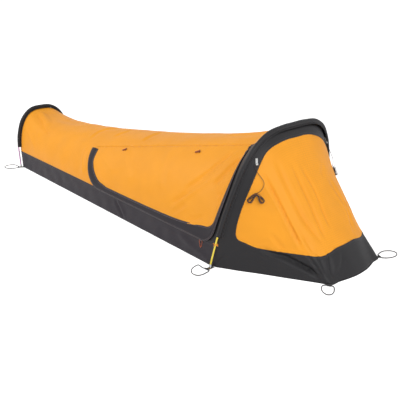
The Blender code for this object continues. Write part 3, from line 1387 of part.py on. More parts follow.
def main():
    for obj in list(bpy.data.objects):
        bpy.data.objects.remove(obj, do_unlink=True)
    skirts()
    foot_panels()
    groundsheet()
    body_cloth()
    porch_cloth()
    pole_sections("head", 1, TIP_HEAD, HEAD_SECTIONS, GOLD)
    pole_sections("foot", 0, TIP_FOOT, FOOT_SECTIONS, MAUVE)
    for name, u, span in (("head", 1, TIP_HEAD), ("foot", 0, TIP_FOOT)):
        shock_cord(name, u, span)
        pole_tips(name, u, span)
        sleeve(name, u)
    clips()
    peg_points()
    guys()
    door()


main()
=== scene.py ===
"""Hooped bivvy tent in coated ripstop, dressed over its solid frame.

Every cloth piece is one thin curved sheet on the tent's skin, with its folds, seams and stitches.
The poles, tips, eyelets, clips, slider and toggles are modelled hard parts; the cords are round cords.
Metres, +Z up, +X towards the head, the door on -Y.
"""
from math import asin, atan, atan2, ceil, cos, hypot, pi, radians, sin, sqrt, tan, tanh

import bmesh
import bpy
import numpy as np
from bpy.props import FloatProperty, PointerProperty, StringProperty
from bpy.types import Operator, Panel, PropertyGroup
from mathutils import Matrix, Vector
from mathutils.geometry import delaunay_2d_cdt


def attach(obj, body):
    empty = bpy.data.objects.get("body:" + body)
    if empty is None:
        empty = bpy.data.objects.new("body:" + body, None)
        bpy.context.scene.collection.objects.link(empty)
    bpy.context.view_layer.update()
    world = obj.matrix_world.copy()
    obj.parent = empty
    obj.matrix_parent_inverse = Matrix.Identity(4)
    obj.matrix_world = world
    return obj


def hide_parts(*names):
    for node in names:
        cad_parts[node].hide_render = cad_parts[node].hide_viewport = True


bl_info = {
    "name": "Hooped Bivvy Tent",
    "version": (1, 0, 0),
    "blender": (4, 5, 0),
    "location": "View3D > Sidebar > Bivvy Tent",
    "description": "Builds a pitched bivvy tent piece by piece, with a studio stage",
    "category": "Object",
}

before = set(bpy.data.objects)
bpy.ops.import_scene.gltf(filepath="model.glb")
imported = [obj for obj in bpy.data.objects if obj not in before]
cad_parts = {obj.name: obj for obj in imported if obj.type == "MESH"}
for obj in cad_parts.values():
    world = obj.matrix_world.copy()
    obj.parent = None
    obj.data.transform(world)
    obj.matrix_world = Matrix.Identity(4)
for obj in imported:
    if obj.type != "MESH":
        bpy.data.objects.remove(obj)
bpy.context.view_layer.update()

# Plan of the tent on the ground
LENGTH = 1.990          # foot hoop to head hoop
PORCH = 0.469           # head hoop to the porch's front edge
BASE_FOOT = 0.183       # half-width of the floor at the foot hoop, the head hoop and the porch's front
BASE_HEAD = 0.409
BASE_FRONT = 0.190
PORCH_CORNER = 0.030
FOOT_REACH = 0.0234     # sleeve's reach behind the foot hoop
PORCH_BOW = 0.034       # how far the porch's front edge bows ahead of its corners
FOOT_X = 0.5 * (FOOT_REACH - LENGTH - PORCH - PORCH_BOW)
HEAD_X = FOOT_X + LENGTH

# Hoops, as sections of the skin in their own leaning planes
FOOT_HEIGHT = 0.3760
HEAD_HEIGHT = 0.5965
FOOT_LEAN = radians(-1.9)
HEAD_LEAN = radians(9.8)
SEAM_FOOT = 0.1851      # half-width and height of the skirt seam at each hoop
SEAM_HEAD = 0.4034
SEAM_Z_FOOT = 0.112
SEAM_Z_HEAD = 0.108
SIDE_POWER_FOOT = 2.95  # squareness of the arch
SIDE_POWER_HEAD = 4.05
TOP_POWERS = ((0, 2.02), (0.25, 1.85), (0.5, 1.85), (0.75, 1.58), (1, 1.046))
RIDGE_SAG = ((0, 0), (0.06, 0.043), (0.14, 0.076), (0.28, 0.093), (0.42, 0.096), (0.57, 0.096),
             (0.72, 0.083), (0.86, 0.058), (0.94, 0.034), (1, 0))

# Door, zip and storm flap
DOOR_FOOT_X = 0.839     # door's ends along the tent, then its hinge line's rise and side as shares of the section
DOOR_HEAD_GAP = 0.118
DOOR_FOOT_RISE = 0.802
DOOR_HEAD_RISE = 0.924
DOOR_FOOT_SIDE = 0.662
DOOR_HEAD_SIDE = 0.323
DOOR_J_LENGTH = 0.170
J_END_X = DOOR_FOOT_X + DOOR_J_LENGTH  # where the zip comes down to the seam
ZIP_BACK = 0.050
ZIP_CORNER = 0.050
ZIP_LEAN_FROM = 0.200
CHAIN_WIDTH = 0.0075
CHAIN_LIFT = 0.0007
CHAIN_THICK = 0.0016
FLAP_THICK = 0.0014
FLAP_BELLY = 0.0078
FLAP_EDGE_LIFT = 0.0052
FLAP_OUT_TOP = 0.026    # flap's width outside the zip line: at the J's top, its middle, along the seam, up the hoop
FLAP_OUT_J = 0.013
FLAP_OUT_LOW = 0.0075
FLAP_OUT_UP = 0.013
FLAP_IN_TOP = 0.030     # and inside it, at the same places and at the lower head corner
FLAP_IN_J = 0.044
FLAP_IN_LOW = 0.027
FLAP_IN_HEAD = 0.058
FLAP_IN_UP = 0.016
FLAP_CORNER = 0.045
FLAP_TOP_GAP = 0.012    # flap and zip stop this far below the hinge line's foot end
FLAP_HEAD_GAP = 0.043   # the flap's head end stops this far below the hinge line
SLIDER_X = LENGTH - 0.110
SLIDER_LENGTH = 0.014
SLIDER_EYE_R = 0.0024
PULL_LENGTH = 0.034
PULL_HALF = 0.0095
PULL_RADIUS = 0.0010

# Hoops' hardware
SLEEVE_R = 0.0110
SLEEVE_END_HEAD = 0.137
SLEEVE_END_FOOT = 0.127
SLEEVE_HEM = 0.013      # the cloth stops this far above those ends
TIP_HEAD = 0.434
TIP_FOOT = 0.198
TIP_LENGTH = 0.022
POLE_PRESS = 0.0050     # how far the pole lies towards the sleeve's outer side
CLIP_HEIGHT = 0.112

# Peg points and guy lines
TAB_EYE_R = 0.004
TAB_EYE_BORE = 0.0027
TAB_THICK = 0.002
TAB_REACH = 0.017
PORCH_TAB_REACH = 0.020
EYE_HEIGHT = TAB_EYE_R + 0.0001
PEG_LOOP_LENGTH = 0.0905
PEG_LOOP_HALF = 0.0255
PEG_LOOP_START = 0.009  # half-width of the loop where it leaves the tab
FOOT_PEG_TURN = radians(36)   # turn of the foot and porch points' tabs away from straight out
PORCH_PEG_TURN = radians(27)
HEAD_LOOP_ROLL = radians(27)  # rise of a loop's raised side at the head, and at the other points
LOOP_ROLL = radians(12)
GUY_TAB_LENGTH = 0.030
GUY_TAB_THICK = 0.0016
GUY_EYE_R = 0.0034
GUY_EYE_BORE = 0.0017
GUY_LIFT = 0.0006
GUY_L = 0.540
GUY_BAND = 0.030
HANK_L = 0.447
HANK_V = 0.170
HANK_LOOPS = 5
HANK_HALF = 0.055
HANK_WAIST = 0.0042
HANK_END = 0.0085
HANK_PITCH = 0.0027
TOGGLES = ((1.106, 0.027), (1.624, 0.049))  # place along the tent and drop below the hinge line
TOGGLE_LENGTH = 0.030
TOGGLE_SLOPE = radians(27)
LOOP_HALF = 0.0085
LOOP_RISE = 0.0062
CORD_CLEAR = 0.0006     # air left under a cord that rests on the ground or on cloth

# Porch cloth
BAND_WIDTH = ((0, 0.062), (0.15, 0.0605), (0.20, 0.0585), (0.25, 0.060), (0.30, 0.0575), (0.33, 0.051),
              (0.37, 0.0425), (0.42, 0.0455), (0.46, 0.045), (0.50, 0.0467))  # by share of the hoop's length
FAR_CORNER_WIDER = 0.012  # the band's extra width at its far upper corner, and that corner's share of the hoop
FAR_CORNER_AT = 0.63
PORCH_SKIRT = ((0.19, 0.150), (0.24, 0.121), (0.27, 0.110), (0.40, 0.105), (0.50, 0.105), (0.575, 0.098),
               (0.72, 0.112), (0.83, 0.113))  # height of its seam
PORCH_SAG = 0.019
PORCH_START = 0.010
SHOULDER = 0.520
WINDOW_CORNER = 0.075
PORCH_SCALE = np.array([1.0, 0.6])  # brings the porch skin's share v to about metres
TUCK = 0.008            # how far a panel runs on below its neighbour at a seam
SEAM_RISE = 0.0006      # height of a felled seam, and the width of the slope beside it
SEAM_SLOPE = 0.0018
FLOOR_Z = 0.0012        # the floor's upper side
STITCH_ROWS = (0.00205, 0.00725)  # distance of a felled seam's two rows of stitches from its line
UP = np.array([0, 0, 1.0])

# Folds as paths on the skin, each with its height and half-width in metres; below zero is a valley.
# On the body a path runs through (x from the foot hoop, length up from the near seam).
BODY_FOLDS = (
    (((0.03, 0.31), (0.15, 0.25), (0.25, 0.2), (0.34, 0.165)), -0.0095, 0.011),
    (((0.05, 0.33), (0.17, 0.28), (0.26, 0.235)), 0.005, 0.016),
    (((0.04, 0.25), (0.14, 0.2), (0.24, 0.15)), 0.0045, 0.018),
    (((0.02, 0.17), (0.12, 0.12), (0.22, 0.06)), 0.0031, 0.016),
    (((0.03, 0.42), (0.16, 0.4), (0.32, 0.36)), 0.0045, 0.018),
    (((0.03, 0.5), (0.18, 0.53), (0.34, 0.52)), 0.0045, 0.018),
    (((0.03, 0.58), (0.15, 0.63), (0.3, 0.68)), -0.0068, 0.014),
    (((0.73, 0.24), (0.72, 0.32), (0.75, 0.38), (0.81, 0.43)), -0.0063, 0.012),
    (((0.9, 0.31), (0.92, 0.37), (0.94, 0.43)), -0.005, 0.011),
    (((1.165, 0.34), (1.165, 0.42), (1.17, 0.49)), -0.0063, 0.012),
    (((0.74, 0.2), (0.78, 0.12), (0.83, 0.03)), 0.0076, 0.02),
    (((0.45, 0.33), (0.54, 0.38), (0.66, 0.42)), 0.0036, 0.02),
    (((1.2, 0.5), (1.4, 0.53), (1.62, 0.6)), 0.0036, 0.024),
    (((1.93, 0.62), (1.8, 0.6), (1.62, 0.56)), 0.0054, 0.018),
    (((1.94, 0.8), (1.78, 0.78), (1.58, 0.72)), 0.0059, 0.022),
    (((1.95, 0.98), (1.8, 0.92), (1.66, 0.82)), 0.005, 0.018),
    (((1.96, 1.12), (1.84, 1.04), (1.74, 0.93)), -0.0059, 0.016),
    (((1.1, 0.62), (1.3, 0.7), (1.52, 0.8)), 0.004, 0.026),
    (((0.3, 0.6), (0.55, 0.62), (0.8, 0.68)), 0.004, 0.026),
)
DOOR_FOLDS = (
    (((1.89, 0.43), (1.86, 0.36), (1.845, 0.3), (1.82, 0.23)), -0.0115, 0.011),
    (((1.83, 0.46), (1.8, 0.39), (1.765, 0.31), (1.725, 0.24), (1.66, 0.16)), -0.0108, 0.011),
    (((1.8, 0.32), (1.765, 0.26), (1.725, 0.205), (1.67, 0.14), (1.61, 0.08)), -0.0098, 0.01),
    (((1.94, 0.28), (1.905, 0.24), (1.87, 0.2)), -0.0085, 0.009),
    (((1.89, 0.21), (1.9, 0.16), (1.92, 0.11)), -0.0059, 0.009),
    (((1.72, 0.12), (1.68, 0.08), (1.64, 0.045)), -0.0062, 0.009),
    (((1.85, 0.09), (1.8, 0.065), (1.75, 0.05)), -0.0062, 0.009),
    (((1.06, 0.3), (1.16, 0.2), (1.3, 0.1)), 0.0027, 0.022),
    (((1.42, 0.36), (1.46, 0.24), (1.52, 0.12)), 0.0024, 0.024),
    (((0.88, 0.2), (0.98, 0.16), (1.12, 0.12)), 0.0024, 0.016),
)
# On the porch a path runs through (length round the hoop, share of the way down, 0 to 1).
PORCH_FOLDS = (
    (((0.53, 0.1), (0.524, 0.26), (0.512, 0.42), (0.497, 0.56), (0.482, 0.74)), -0.013, 0.01),
    (((0.635, 0.11), (0.622, 0.27), (0.612, 0.42), (0.603, 0.56), (0.62, 0.66), (0.645, 0.76)), -0.0083, 0.017),
    (((0.72, 0.18), (0.718, 0.36), (0.708, 0.5), (0.695, 0.62), (0.67, 0.76)), -0.0076, 0.016),
    (((0.765, 0.22), (0.8, 0.36), (0.8, 0.46), (0.78, 0.57), (0.77, 0.7)), -0.0076, 0.014),
    (((0.95, 0.36), (1.005, 0.48), (1.045, 0.58), (1.04, 0.67), (0.98, 0.78)), -0.0072, 0.018),
    (((0.97, 0.27), (0.935, 0.3), (0.9, 0.34)), -0.0043, 0.012),
    (((0.38, 0.5), (0.384, 0.6), (0.388, 0.7)), -0.0047, 0.012),
    (((0.543, 0.64), (0.541, 0.71), (0.538, 0.79)), -0.0047, 0.012),
    (((1.39, 0.4), (1.33, 0.6), (1.24, 0.84)), 0.0036, 0.02),
    (((1.13, 0.12), (1.14, 0.4), (1.16, 0.7)), -0.0072, 0.014),
    (((0.27, 0.56), (0.33, 0.7), (0.4, 0.83), (0.5, 0.96)), -0.0152, 0.016),
    (((0.35, 0.7), (0.42, 0.83), (0.49, 0.93)), -0.0119, 0.012),
    (((0.495, 0.74), (0.505, 0.86), (0.512, 0.97)), -0.0092, 0.009),
    (((0.565, 0.77), (0.545, 0.88), (0.525, 0.97)), -0.0092, 0.009),
    (((0.645, 0.79), (0.6, 0.89), (0.545, 0.97)), -0.0092, 0.01),
    (((0.76, 0.86), (0.68, 0.93), (0.59, 0.975)), -0.0065, 0.014),
    (((1.39, 0.56), (1.33, 0.7), (1.26, 0.83), (1.16, 0.96)), 0.0152, 0.016),
)
SKIRT_FOLDS = (
    (((1.15, -0.01), (1.2, -0.055), (1.26, -0.11)), -0.0075, 0.011),
    (((1.7, -0.03), (1.82, -0.06), (1.97, -0.09)), 0.004, 0.014),
    (((0.1, -0.03), (0.4, -0.05), (0.7, -0.04)), 0.0014, 0.018),
)
END_WALL_FOLDS = (
    (((-0.15, 0.3), (-0.09, 0.22), (-0.06, 0.14)), 0.0026, 0.012),
    (((0.15, 0.3), (0.1, 0.22), (0.05, 0.14)), -0.0026, 0.012),
    (((-0.02, 0.36), (-0.01, 0.26), (0.0, 0.15)), 0.0018, 0.016),
)
PORCH_HOLLOWS = (0.006, 0.014)  # depth of the broad hollow beside the porch's near and far shoulder
HEM_PULL = 0.012        # how far the pegs draw out the hem at the porch's two front corners


# Settings that a user would change


class BivvyCloth(PropertyGroup):
    body_colour: StringProperty(
        name="Body cloth", description="sRGB hex colour of the body, door and end wall", default="#F9A52C")
    porch_colour: StringProperty(
        name="Porch cloth", description="sRGB hex colour of the porch's panel", default="#FAA62E")
    dark_colour: StringProperty(
        name="Dark cloth", description="sRGB hex colour of the porch surround, sleeves and flap", default="#272628")
    floor_colour: StringProperty(
        name="Floor cloth", description="sRGB hex colour of the floor and skirts", default="#2D282E")
    thickness: FloatProperty(
        name="Cloth thickness", description="Thickness that the cloth is drawn with", default=0.0006,
        min=0.0002, max=0.0015, precision=4, unit="LENGTH")
    mesh_step: FloatProperty(
        name="Mesh step", description="Spacing of the cloth's mesh", default=0.012, min=0.006, max=0.05,
        precision=3, unit="LENGTH")
    fold_strength: FloatProperty(
        name="Fold strength", description="Height of the folds against the pitched tent's", default=1.0,
        min=0.0, max=2.0, subtype="FACTOR")
    seam_lap: FloatProperty(
        name="Seam lap", description="Width of a flat-felled seam", default=0.009, min=0.004, max=0.015,
        precision=4, unit="LENGTH")


class BivvyHardware(PropertyGroup):
    head_pole_colour: StringProperty(
        name="Head pole", description="sRGB hex colour of the gold anodised head pole", default="#D2BE4E")
    foot_pole_colour: StringProperty(
        name="Foot pole", description="sRGB hex colour of the mauve anodised foot pole", default="#B98BB2")
    clip_colour: StringProperty(
        name="Clips", description="sRGB hex colour of the moulded pole clips", default="#EE9A3C")
    toggle_colour: StringProperty(
        name="Toggles", description="sRGB hex colour of the stained wooden toggles", default="#94450A")
    cord_colour: StringProperty(name="Cord", description="sRGB hex colour of the peg loops", default="#3A3A3C")
    pole_radius: FloatProperty(
        name="Pole radius", description="Outer radius of the pole tubes", default=0.00425, min=0.003, max=0.005,
        precision=5, unit="LENGTH")
    peg_cord_radius: FloatProperty(
        name="Peg cord radius", description="Radius of the peg loops' cord", default=0.0024, min=0.001,
        max=0.0025, precision=4, unit="LENGTH")
    guy_cord_radius: FloatProperty(
        name="Guy cord radius", description="Radius of the guy lines' cord", default=0.00115, min=0.0006,
        max=0.0012, precision=4, unit="LENGTH")
    tab_width: FloatProperty(
        name="Peg tab width", description="Width of the peg points' webbing", default=0.018, min=0.012,
        max=0.022, precision=4, unit="LENGTH")
    guy_tab_width: FloatProperty(
        name="Guy tab width", description="Width of the guy points' webbing", default=0.010, min=0.008,
        max=0.016, precision=4, unit="LENGTH")
    tooth_pitch: FloatProperty(
        name="Zip pitch", description="Spacing of the zip's coil turns", default=0.003, min=0.002, max=0.006,
        precision=4, unit="LENGTH")


class BivvyStage(PropertyGroup):
    floor_colour: StringProperty(name="Floor", description="sRGB hex colour of the studio floor", default="#F2F2F2")
    side_power: FloatProperty(
        name="Side light", description="Power of the soft light on the door's side, in watts", default=74.0, min=0.0)
    front_power: FloatProperty(
        name="Front light", description="Power of the soft light on the porch, in watts", default=55.0, min=0.0)
    sky_strength: FloatProperty(
        name="Sky light", description="Strength of the even light from all round", default=0.42, min=0.0)
    camera_turn: FloatProperty(
        name="Camera azimuth", description="Camera's turn from straight on to the door side",
        default=radians(44.6726), subtype="ANGLE")
    camera_rise: FloatProperty(
        name="Camera elevation", description="Camera's angle above the ground", default=radians(19.5866),
        subtype="ANGLE")
    camera_distance: FloatProperty(
        name="Camera distance", description="From the camera to the point it looks at", default=3.3998, min=0.5,
        unit="LENGTH")
    camera_lens: FloatProperty(name="Lens", description="Focal length in millimetres", default=57.18, min=20.0)


def cloth_settings():
    return bpy.context.scene.bivvy_cloth


def hardware():
    return bpy.context.scene.bivvy_hardware


# Curves and small sums


def blend(a, b, t):
    """Value between a and b."""
    return a + (b - a) * t


def ease(t):
    """Smooth step from 0 to 1."""
    t = np.clip(t, 0, 1)
    return t * t * (3 - 2 * t)


def curve(knots, x):
    """Smooth curve through (x, y) knots that never overshoots them."""
    xs = np.array([k[0] for k in knots], float)
    ys = np.array([k[1] for k in knots], float)
    x = np.asarray(x, float)
    gaps = np.diff(xs)
    rise = np.diff(ys) / gaps
    slope = np.concatenate([[rise[0]], 0.5 * (rise[1:] + rise[:-1]), [rise[-1]]])
    slope[np.concatenate([[False], rise[1:] * rise[:-1] <= 0, [False]])] = 0
    i = np.clip(np.searchsorted(xs, x) - 1, 0, len(gaps) - 1)
    return cubic((x - xs[i]) / gaps[i], gaps[i], ys[i], ys[i + 1], slope[i], slope[i + 1])


def cubic(t, gap, a, b, slope_a, slope_b):
    """Smooth way from a to b across a gap, with these slopes at its ends."""
    return ((2 * t**3 - 3 * t**2 + 1) * a + (t**3 - 2 * t**2 + t) * gap * slope_a
            + (3 * t**2 - 2 * t**3) * b + (t**3 - t**2) * gap * slope_b)


def pairs(x, y):
    """Points from their two coordinates, either of which may be one number for all."""
    return np.stack(np.broadcast_arrays(x, y), -1)


def length_of(v):
    return np.linalg.norm(v, axis=-1)


def unit(v):
    """Vectors of length one."""
    return v / np.linalg.norm(v, axis=-1, keepdims=True)


def run_of(line):
    """Length along an open line at each of its points."""
    return np.concatenate([[0], np.cumsum(length_of(np.diff(line, axis=0)))])


def points_at(line, at):
    """Points of an open line at these lengths along it."""
    return np.stack([np.interp(at, run_of(line), column) for column in line.T], -1)


def resample(line, step):
    """Open line with even steps."""
    total = run_of(line)[-1]
    return points_at(line, np.linspace(0, total, max(int(round(total / step)), 1) + 1))


def left_of(line):
    """Directions to the left of an open line."""
    tangent = unit(np.gradient(line, axis=0))
    return pairs(-tangent[:, 1], tangent[:, 0])


def offset(line, distance):
    """Open line shifted sideways to its left."""
    return line + left_of(line) * distance


def route(points, step, closed=False):
    """Even points along a smooth curve through given ones."""
    p = np.array(points, float)
    if closed:
        p = np.concatenate([p[-2:], p, p[:3]])
    t = run_of(p)
    slope = np.gradient(p, t, axis=0, edge_order=2 if len(p) > 2 else 1)
    fine = []
    for k in range(len(p) - 1):
        fine.append(cubic(np.linspace(0, 1, 17)[:-1, None], t[k + 1] - t[k], p[k], p[k + 1], slope[k], slope[k + 1]))
    if closed:
        return resample(np.concatenate(fine[2:-2] + [p[2:3]]), step)
    return resample(np.concatenate(fine + [p[-1:]]), step)


def mirror(points):
    return np.asarray(points) * np.array([1, -1, 1])


# The body's skin: sections that lean from one hoop to the other


def ridge(u):
    return blend(FOOT_HEIGHT, HEAD_HEIGHT, u) - curve(RIDGE_SAG, u)


def seam_side(u):
    return blend(SEAM_FOOT, SEAM_HEAD, u)


def seam_height(u):
    return blend(SEAM_Z_FOOT, SEAM_Z_HEAD, u)


def lean(u):
    return blend(FOOT_LEAN, HEAD_LEAN, u)


def to_space(u, y, h):
    """Point at side y and slant height h in the section plane at u."""
    return np.stack([FOOT_X + LENGTH * u + h * np.sin(lean(u)), y + 0 * h, h * np.cos(lean(u))], -1)


def hinge_end(u, rise, side):
    return to_space(np.float64(u), -side * seam_side(u), rise * ridge(u))


HINGE_FOOT_U = DOOR_FOOT_X / LENGTH
HINGE_HEAD_U = 1 - DOOR_HEAD_GAP / LENGTH
HINGE_FOOT = hinge_end(HINGE_FOOT_U, DOOR_FOOT_RISE, DOOR_FOOT_SIDE)
HINGE_HEAD = hinge_end(HINGE_HEAD_U, DOOR_HEAD_RISE, DOOR_HEAD_SIDE)


def hinge_at(u):
    """Side and slant height of the door's straight hinge line in the section at u."""
    run = HINGE_HEAD - HINGE_FOOT
    t = np.tan(lean(u))
    k = (FOOT_X + LENGTH * u + t * HINGE_FOOT[2] - HINGE_FOOT[0]) / (run[0] - t * run[2])
    p = HINGE_FOOT + np.multiply.outer(k, run)
    return -p[..., 1], p[..., 2] / np.cos(lean(u))


def power_through_hinge(u):
    """Side power that makes the section at u pass through the hinge line."""
    y, h = hinge_at(u)
    rise = np.clip((h - seam_height(u)) / (ridge(u) - seam_height(u)), 0.05, 0.985)
    return np.log(1 - rise ** curve(TOP_POWERS, u)) / np.log(np.clip(y / seam_side(u), 0.02, 0.98))


def side_power(u):
    near_foot = blend(SIDE_POWER_FOOT, power_through_hinge(np.float64(HINGE_FOOT_U)), ease(u / HINGE_FOOT_U))
    past = ease((u - HINGE_HEAD_U) / (1 - HINGE_HEAD_U))
    near_head = blend(power_through_hinge(np.float64(HINGE_HEAD_U)), SIDE_POWER_HEAD, past)
    middle = power_through_hinge(np.clip(u, HINGE_FOOT_U, HINGE_HEAD_U))
    return np.where(u < HINGE_FOOT_U, near_foot, np.where(u > HINGE_HEAD_U, near_head, middle))


def arch(u, a):
    """Side and slant height of the arch at u for the angle a, 0 at the near seam and pi at the far one."""
    c = np.cos(a)
    s = np.clip(np.abs(np.sin(a)), 0, 1)
    y = -seam_side(u) * np.sign(c) * np.abs(c) ** (2 / side_power(u))
    return y, seam_height(u) + (ridge(u) - seam_height(u)) * s ** (2 / curve(TOP_POWERS, u))


TABLE_U = np.linspace(0, 1, 201)
TABLE_F = np.linspace(0, 1, 161)


def arc_tables():
    """For each section: its arc length from seam to seam, and the angle at equal shares of it."""
    a = 0.5 * pi * (1 - np.cos(np.linspace(0, pi, 481)))
    u, aa = np.meshgrid(TABLE_U, a, indexing="ij")
    y, h = arch(u, aa)
    run = np.concatenate([np.zeros((len(TABLE_U), 1)), np.cumsum(np.hypot(np.diff(y), np.diff(h)), axis=1)], axis=1)
    return run[:, -1], np.array([np.interp(TABLE_F * r[-1], r, a) for r in run])


ARC, ANGLE = arc_tables()


def arc_length(u):
    return np.interp(u, TABLE_U, ARC)


def angle_at(u, f):
    """Arch angle at share f of the arc, read between the tables' rows."""
    i = np.clip((u * (len(TABLE_U) - 1)).astype(int), 0, len(TABLE_U) - 2)
    j = np.clip((f * (len(TABLE_F) - 1)).astype(int), 0, len(TABLE_F) - 2)
    p = u * (len(TABLE_U) - 1) - i
    q = f * (len(TABLE_F) - 1) - j
    return blend(blend(ANGLE[i, j], ANGLE[i, j + 1], q), blend(ANGLE[i + 1, j], ANGLE[i + 1, j + 1], q), p)


def skirt_length(u):
    return np.hypot(seam_height(u), seam_side(u) - blend(BASE_FOOT, BASE_HEAD, u))


def section(u, b):
    """Side and slant height at length b up from the near seam; below 0 or past the arc it is on a skirt."""
    total = arc_length(u)
    y, h = arch(u, angle_at(u, np.clip(b / total, 0, 1)))
    down = np.maximum(np.maximum(-b, b - total), 0) / skirt_length(u)
    side = blend(np.abs(y), blend(BASE_FOOT, BASE_HEAD, u), down)
    y = np.where(down > 0, np.where(b < 0, -side, side), y)
    return y, np.where(down > 0, seam_height(u) * (1 - down), h)


def body_skin(p):
    """Points and outward directions of the body skin at (x from the foot hoop, b up from the near seam)."""
    u = p[..., 0] / LENGTH
    b = p[..., 1]
    total = arc_length(u)
    y, h = section(u, b)
    tiny = 0.002
    y1, h1 = section(u, np.clip(b - tiny, 0, total))
    y2, h2 = section(u, np.clip(b + tiny, 0, total))
    flat = pairs(np.sign(y), 0 * y)
    normal = unit(pairs(h1 - h2, y2 - y1) + 1e-12)
    normal = unit(blend(flat, normal, ease(np.minimum(b, total - b) / 0.02)[..., None]))
    way = np.stack([normal[..., 1] * np.sin(lean(u)), normal[..., 0], normal[..., 1] * np.cos(lean(u))], -1)
    return to_space(u, y, h), way


def length_up(u, height):
    """Length up the near side from the seam to a slant height."""
    b = np.linspace(0, 0.5 * arc_length(u), 400)
    return float(np.interp(height, section(np.full(400, u), b)[1], b))


# The porch's skin, ruled from the head hoop to its line on the ground

HOOP_SKIRT = float(skirt_length(np.float64(1)))
HOOP_LENGTH = float(arc_length(1.0)) + 2 * HOOP_SKIRT


def hoop_line(length):
    return body_skin(pairs(LENGTH, np.asarray(length) - HOOP_SKIRT))


def porch_corner():
    """Bearing of the porch's side, turn at its front corner, the corner's cut and the straight run before it."""
    side = BASE_HEAD - BASE_FRONT
    slope = atan2(side, PORCH)
    cut = PORCH_CORNER * tan(0.5 * (0.5 * pi - slope))
    return slope, 0.5 * pi - slope, cut, hypot(PORCH, side) - cut


def ground_line(run):
    """Point and outward direction on the near half of the porch's ground line, run metres from the hoop."""
    slope, turn, cut, straight = porch_corner()
    a = np.clip((run - straight) / PORCH_CORNER, 0, turn)
    along = np.minimum(run, straight)
    x = HEAD_X + along * cos(slope) + PORCH_CORNER * (np.sin(slope + a) - sin(slope))
    y = -BASE_HEAD + along * sin(slope) + PORCH_CORNER * (cos(slope) - np.cos(slope + a))
    ahead = np.maximum(run - straight - PORCH_CORNER * turn, 0)
    y = y + ahead
    share = np.clip(ahead / (BASE_FRONT - cut), 0, 1)
    x = x + PORCH_BOW * share * (2 - share)
    bearing = slope + a - atan(2 * PORCH_BOW / BASE_FRONT) * (1 - share) * a / turn
    bearing = bearing * ease(run / 0.06)
    return x, y, np.sin(bearing), -np.cos(bearing)


def ground_lengths():
    """Run to the middle of the front corner, and to the middle of the front edge."""
    _, turn, cut, straight = porch_corner()
    return straight + 0.5 * PORCH_CORNER * turn, straight + PORCH_CORNER * turn + BASE_FRONT - cut


def ground_run(near):
    corner, middle = ground_lengths()
    return curve(((0, 0), (SHOULDER, corner), (0.5 * HOOP_LENGTH, middle)), near)


def porch_skin(p):
    """Points and outward directions of the porch skin at (length round the hoop, share v towards the ground)."""
    length = p[..., 0]
    v = p[..., 1]
    near = np.minimum(length, HOOP_LENGTH - length)
    top, top_way = hoop_line(length)
    x, y, dx, dy = ground_line(ground_run(near))
    side = np.where(length > 0.5 * HOOP_LENGTH, -1.0, 1.0)
    low = np.stack([x, y * side, 0 * x], -1)
    way = unit(blend(top_way, np.stack([dx, dy * side, 0 * x], -1), v[..., None]))
    sag = PORCH_SAG * 4 * v * (1 - v) * ease(near / 0.25)
    return blend(top, low, v[..., None]) - way * sag[..., None], way


def ruling(length):
    """Length of the straight line from the hoop to the ground."""
    top, _ = porch_skin(pairs(length, 0))
    low, _ = porch_skin(pairs(length, 1))
    return length_of(low - top)


def band_share(length):
    """Share v of the dark band's width ahead of the hoop."""
    near = np.minimum(length, HOOP_LENGTH - length)
    wider = FAR_CORNER_WIDER * np.exp(-((length / HOOP_LENGTH - FAR_CORNER_AT) / 0.06) ** 2)
    return (curve(BAND_WIDTH, near / HOOP_LENGTH) + wider) / ruling(length)


def skirt_share(length):
    """Share v at which the porch skin comes down to its skirt's seam."""
    height = curve(PORCH_SKIRT, np.minimum(length, HOOP_LENGTH - length))
    low = np.zeros_like(length)
    high = np.ones_like(length)
    for _ in range(30):
        mid = 0.5 * (low + high)
        above = porch_skin(pairs(length, mid))[0][:, 2] > height
        low = np.where(above, mid, low)
        high = np.where(above, high, mid)
    return low


# Cutting lines, in the skin's own coordinates


def hinge_b(x):
    """Length up from the seam to the hinge line in the section at x."""
    return length_up(x / LENGTH, float(hinge_at(np.float64(x / LENGTH))[1]))


J_POINTS = 34           # points of the zip line down its J and along the seam
LOW_POINTS = 60


def zip_line():
    """Line of the zip: down the J, along the seam and up beside the head hoop."""
    j_height = hinge_b(DOOR_FOOT_X)
    a = np.linspace(0, 0.5 * pi, J_POINTS)
    j = pairs(DOOR_FOOT_X + DOOR_J_LENGTH * (1 - np.cos(a)), j_height * (1 - np.sin(a)))
    up_x = LENGTH - ZIP_BACK
    low = np.array([[x, 0.0] for x in np.linspace(J_END_X, up_x - ZIP_CORNER, LOW_POINTS)])
    a = np.linspace(0, 0.5 * pi, 12)
    bend = pairs(up_x - ZIP_CORNER * (1 - np.sin(a)), ZIP_CORNER * (1 - np.cos(a)))
    head_x = LENGTH - DOOR_HEAD_GAP
    top = hinge_b(head_x)
    b = np.linspace(ZIP_CORNER, top, 40)
    back = ((np.maximum(b, ZIP_LEAN_FROM) - ZIP_LEAN_FROM) / (top - ZIP_LEAN_FROM)) ** 2
    up = pairs(up_x - (up_x - head_x) * back, b)
    return np.concatenate([j, low[1:], bend[1:], up[1:]])


ZIP_LINE = zip_line()
ZIP_BEND = J_POINTS + LOW_POINTS - 1  # first point of the line's bend up beside the hoop
HINGE_X = np.linspace(LENGTH - DOOR_HEAD_GAP, DOOR_FOOT_X, 80)
HINGE_LINE = np.array([[x, hinge_b(x)] for x in HINGE_X])


def covered_zip(end):
    """The zip line less its two ends, which stop short of the hinge line."""
    total = run_of(ZIP_LINE)[-1]
    return points_at(ZIP_LINE, np.linspace(FLAP_TOP_GAP, total - end, int(total / 0.010)))


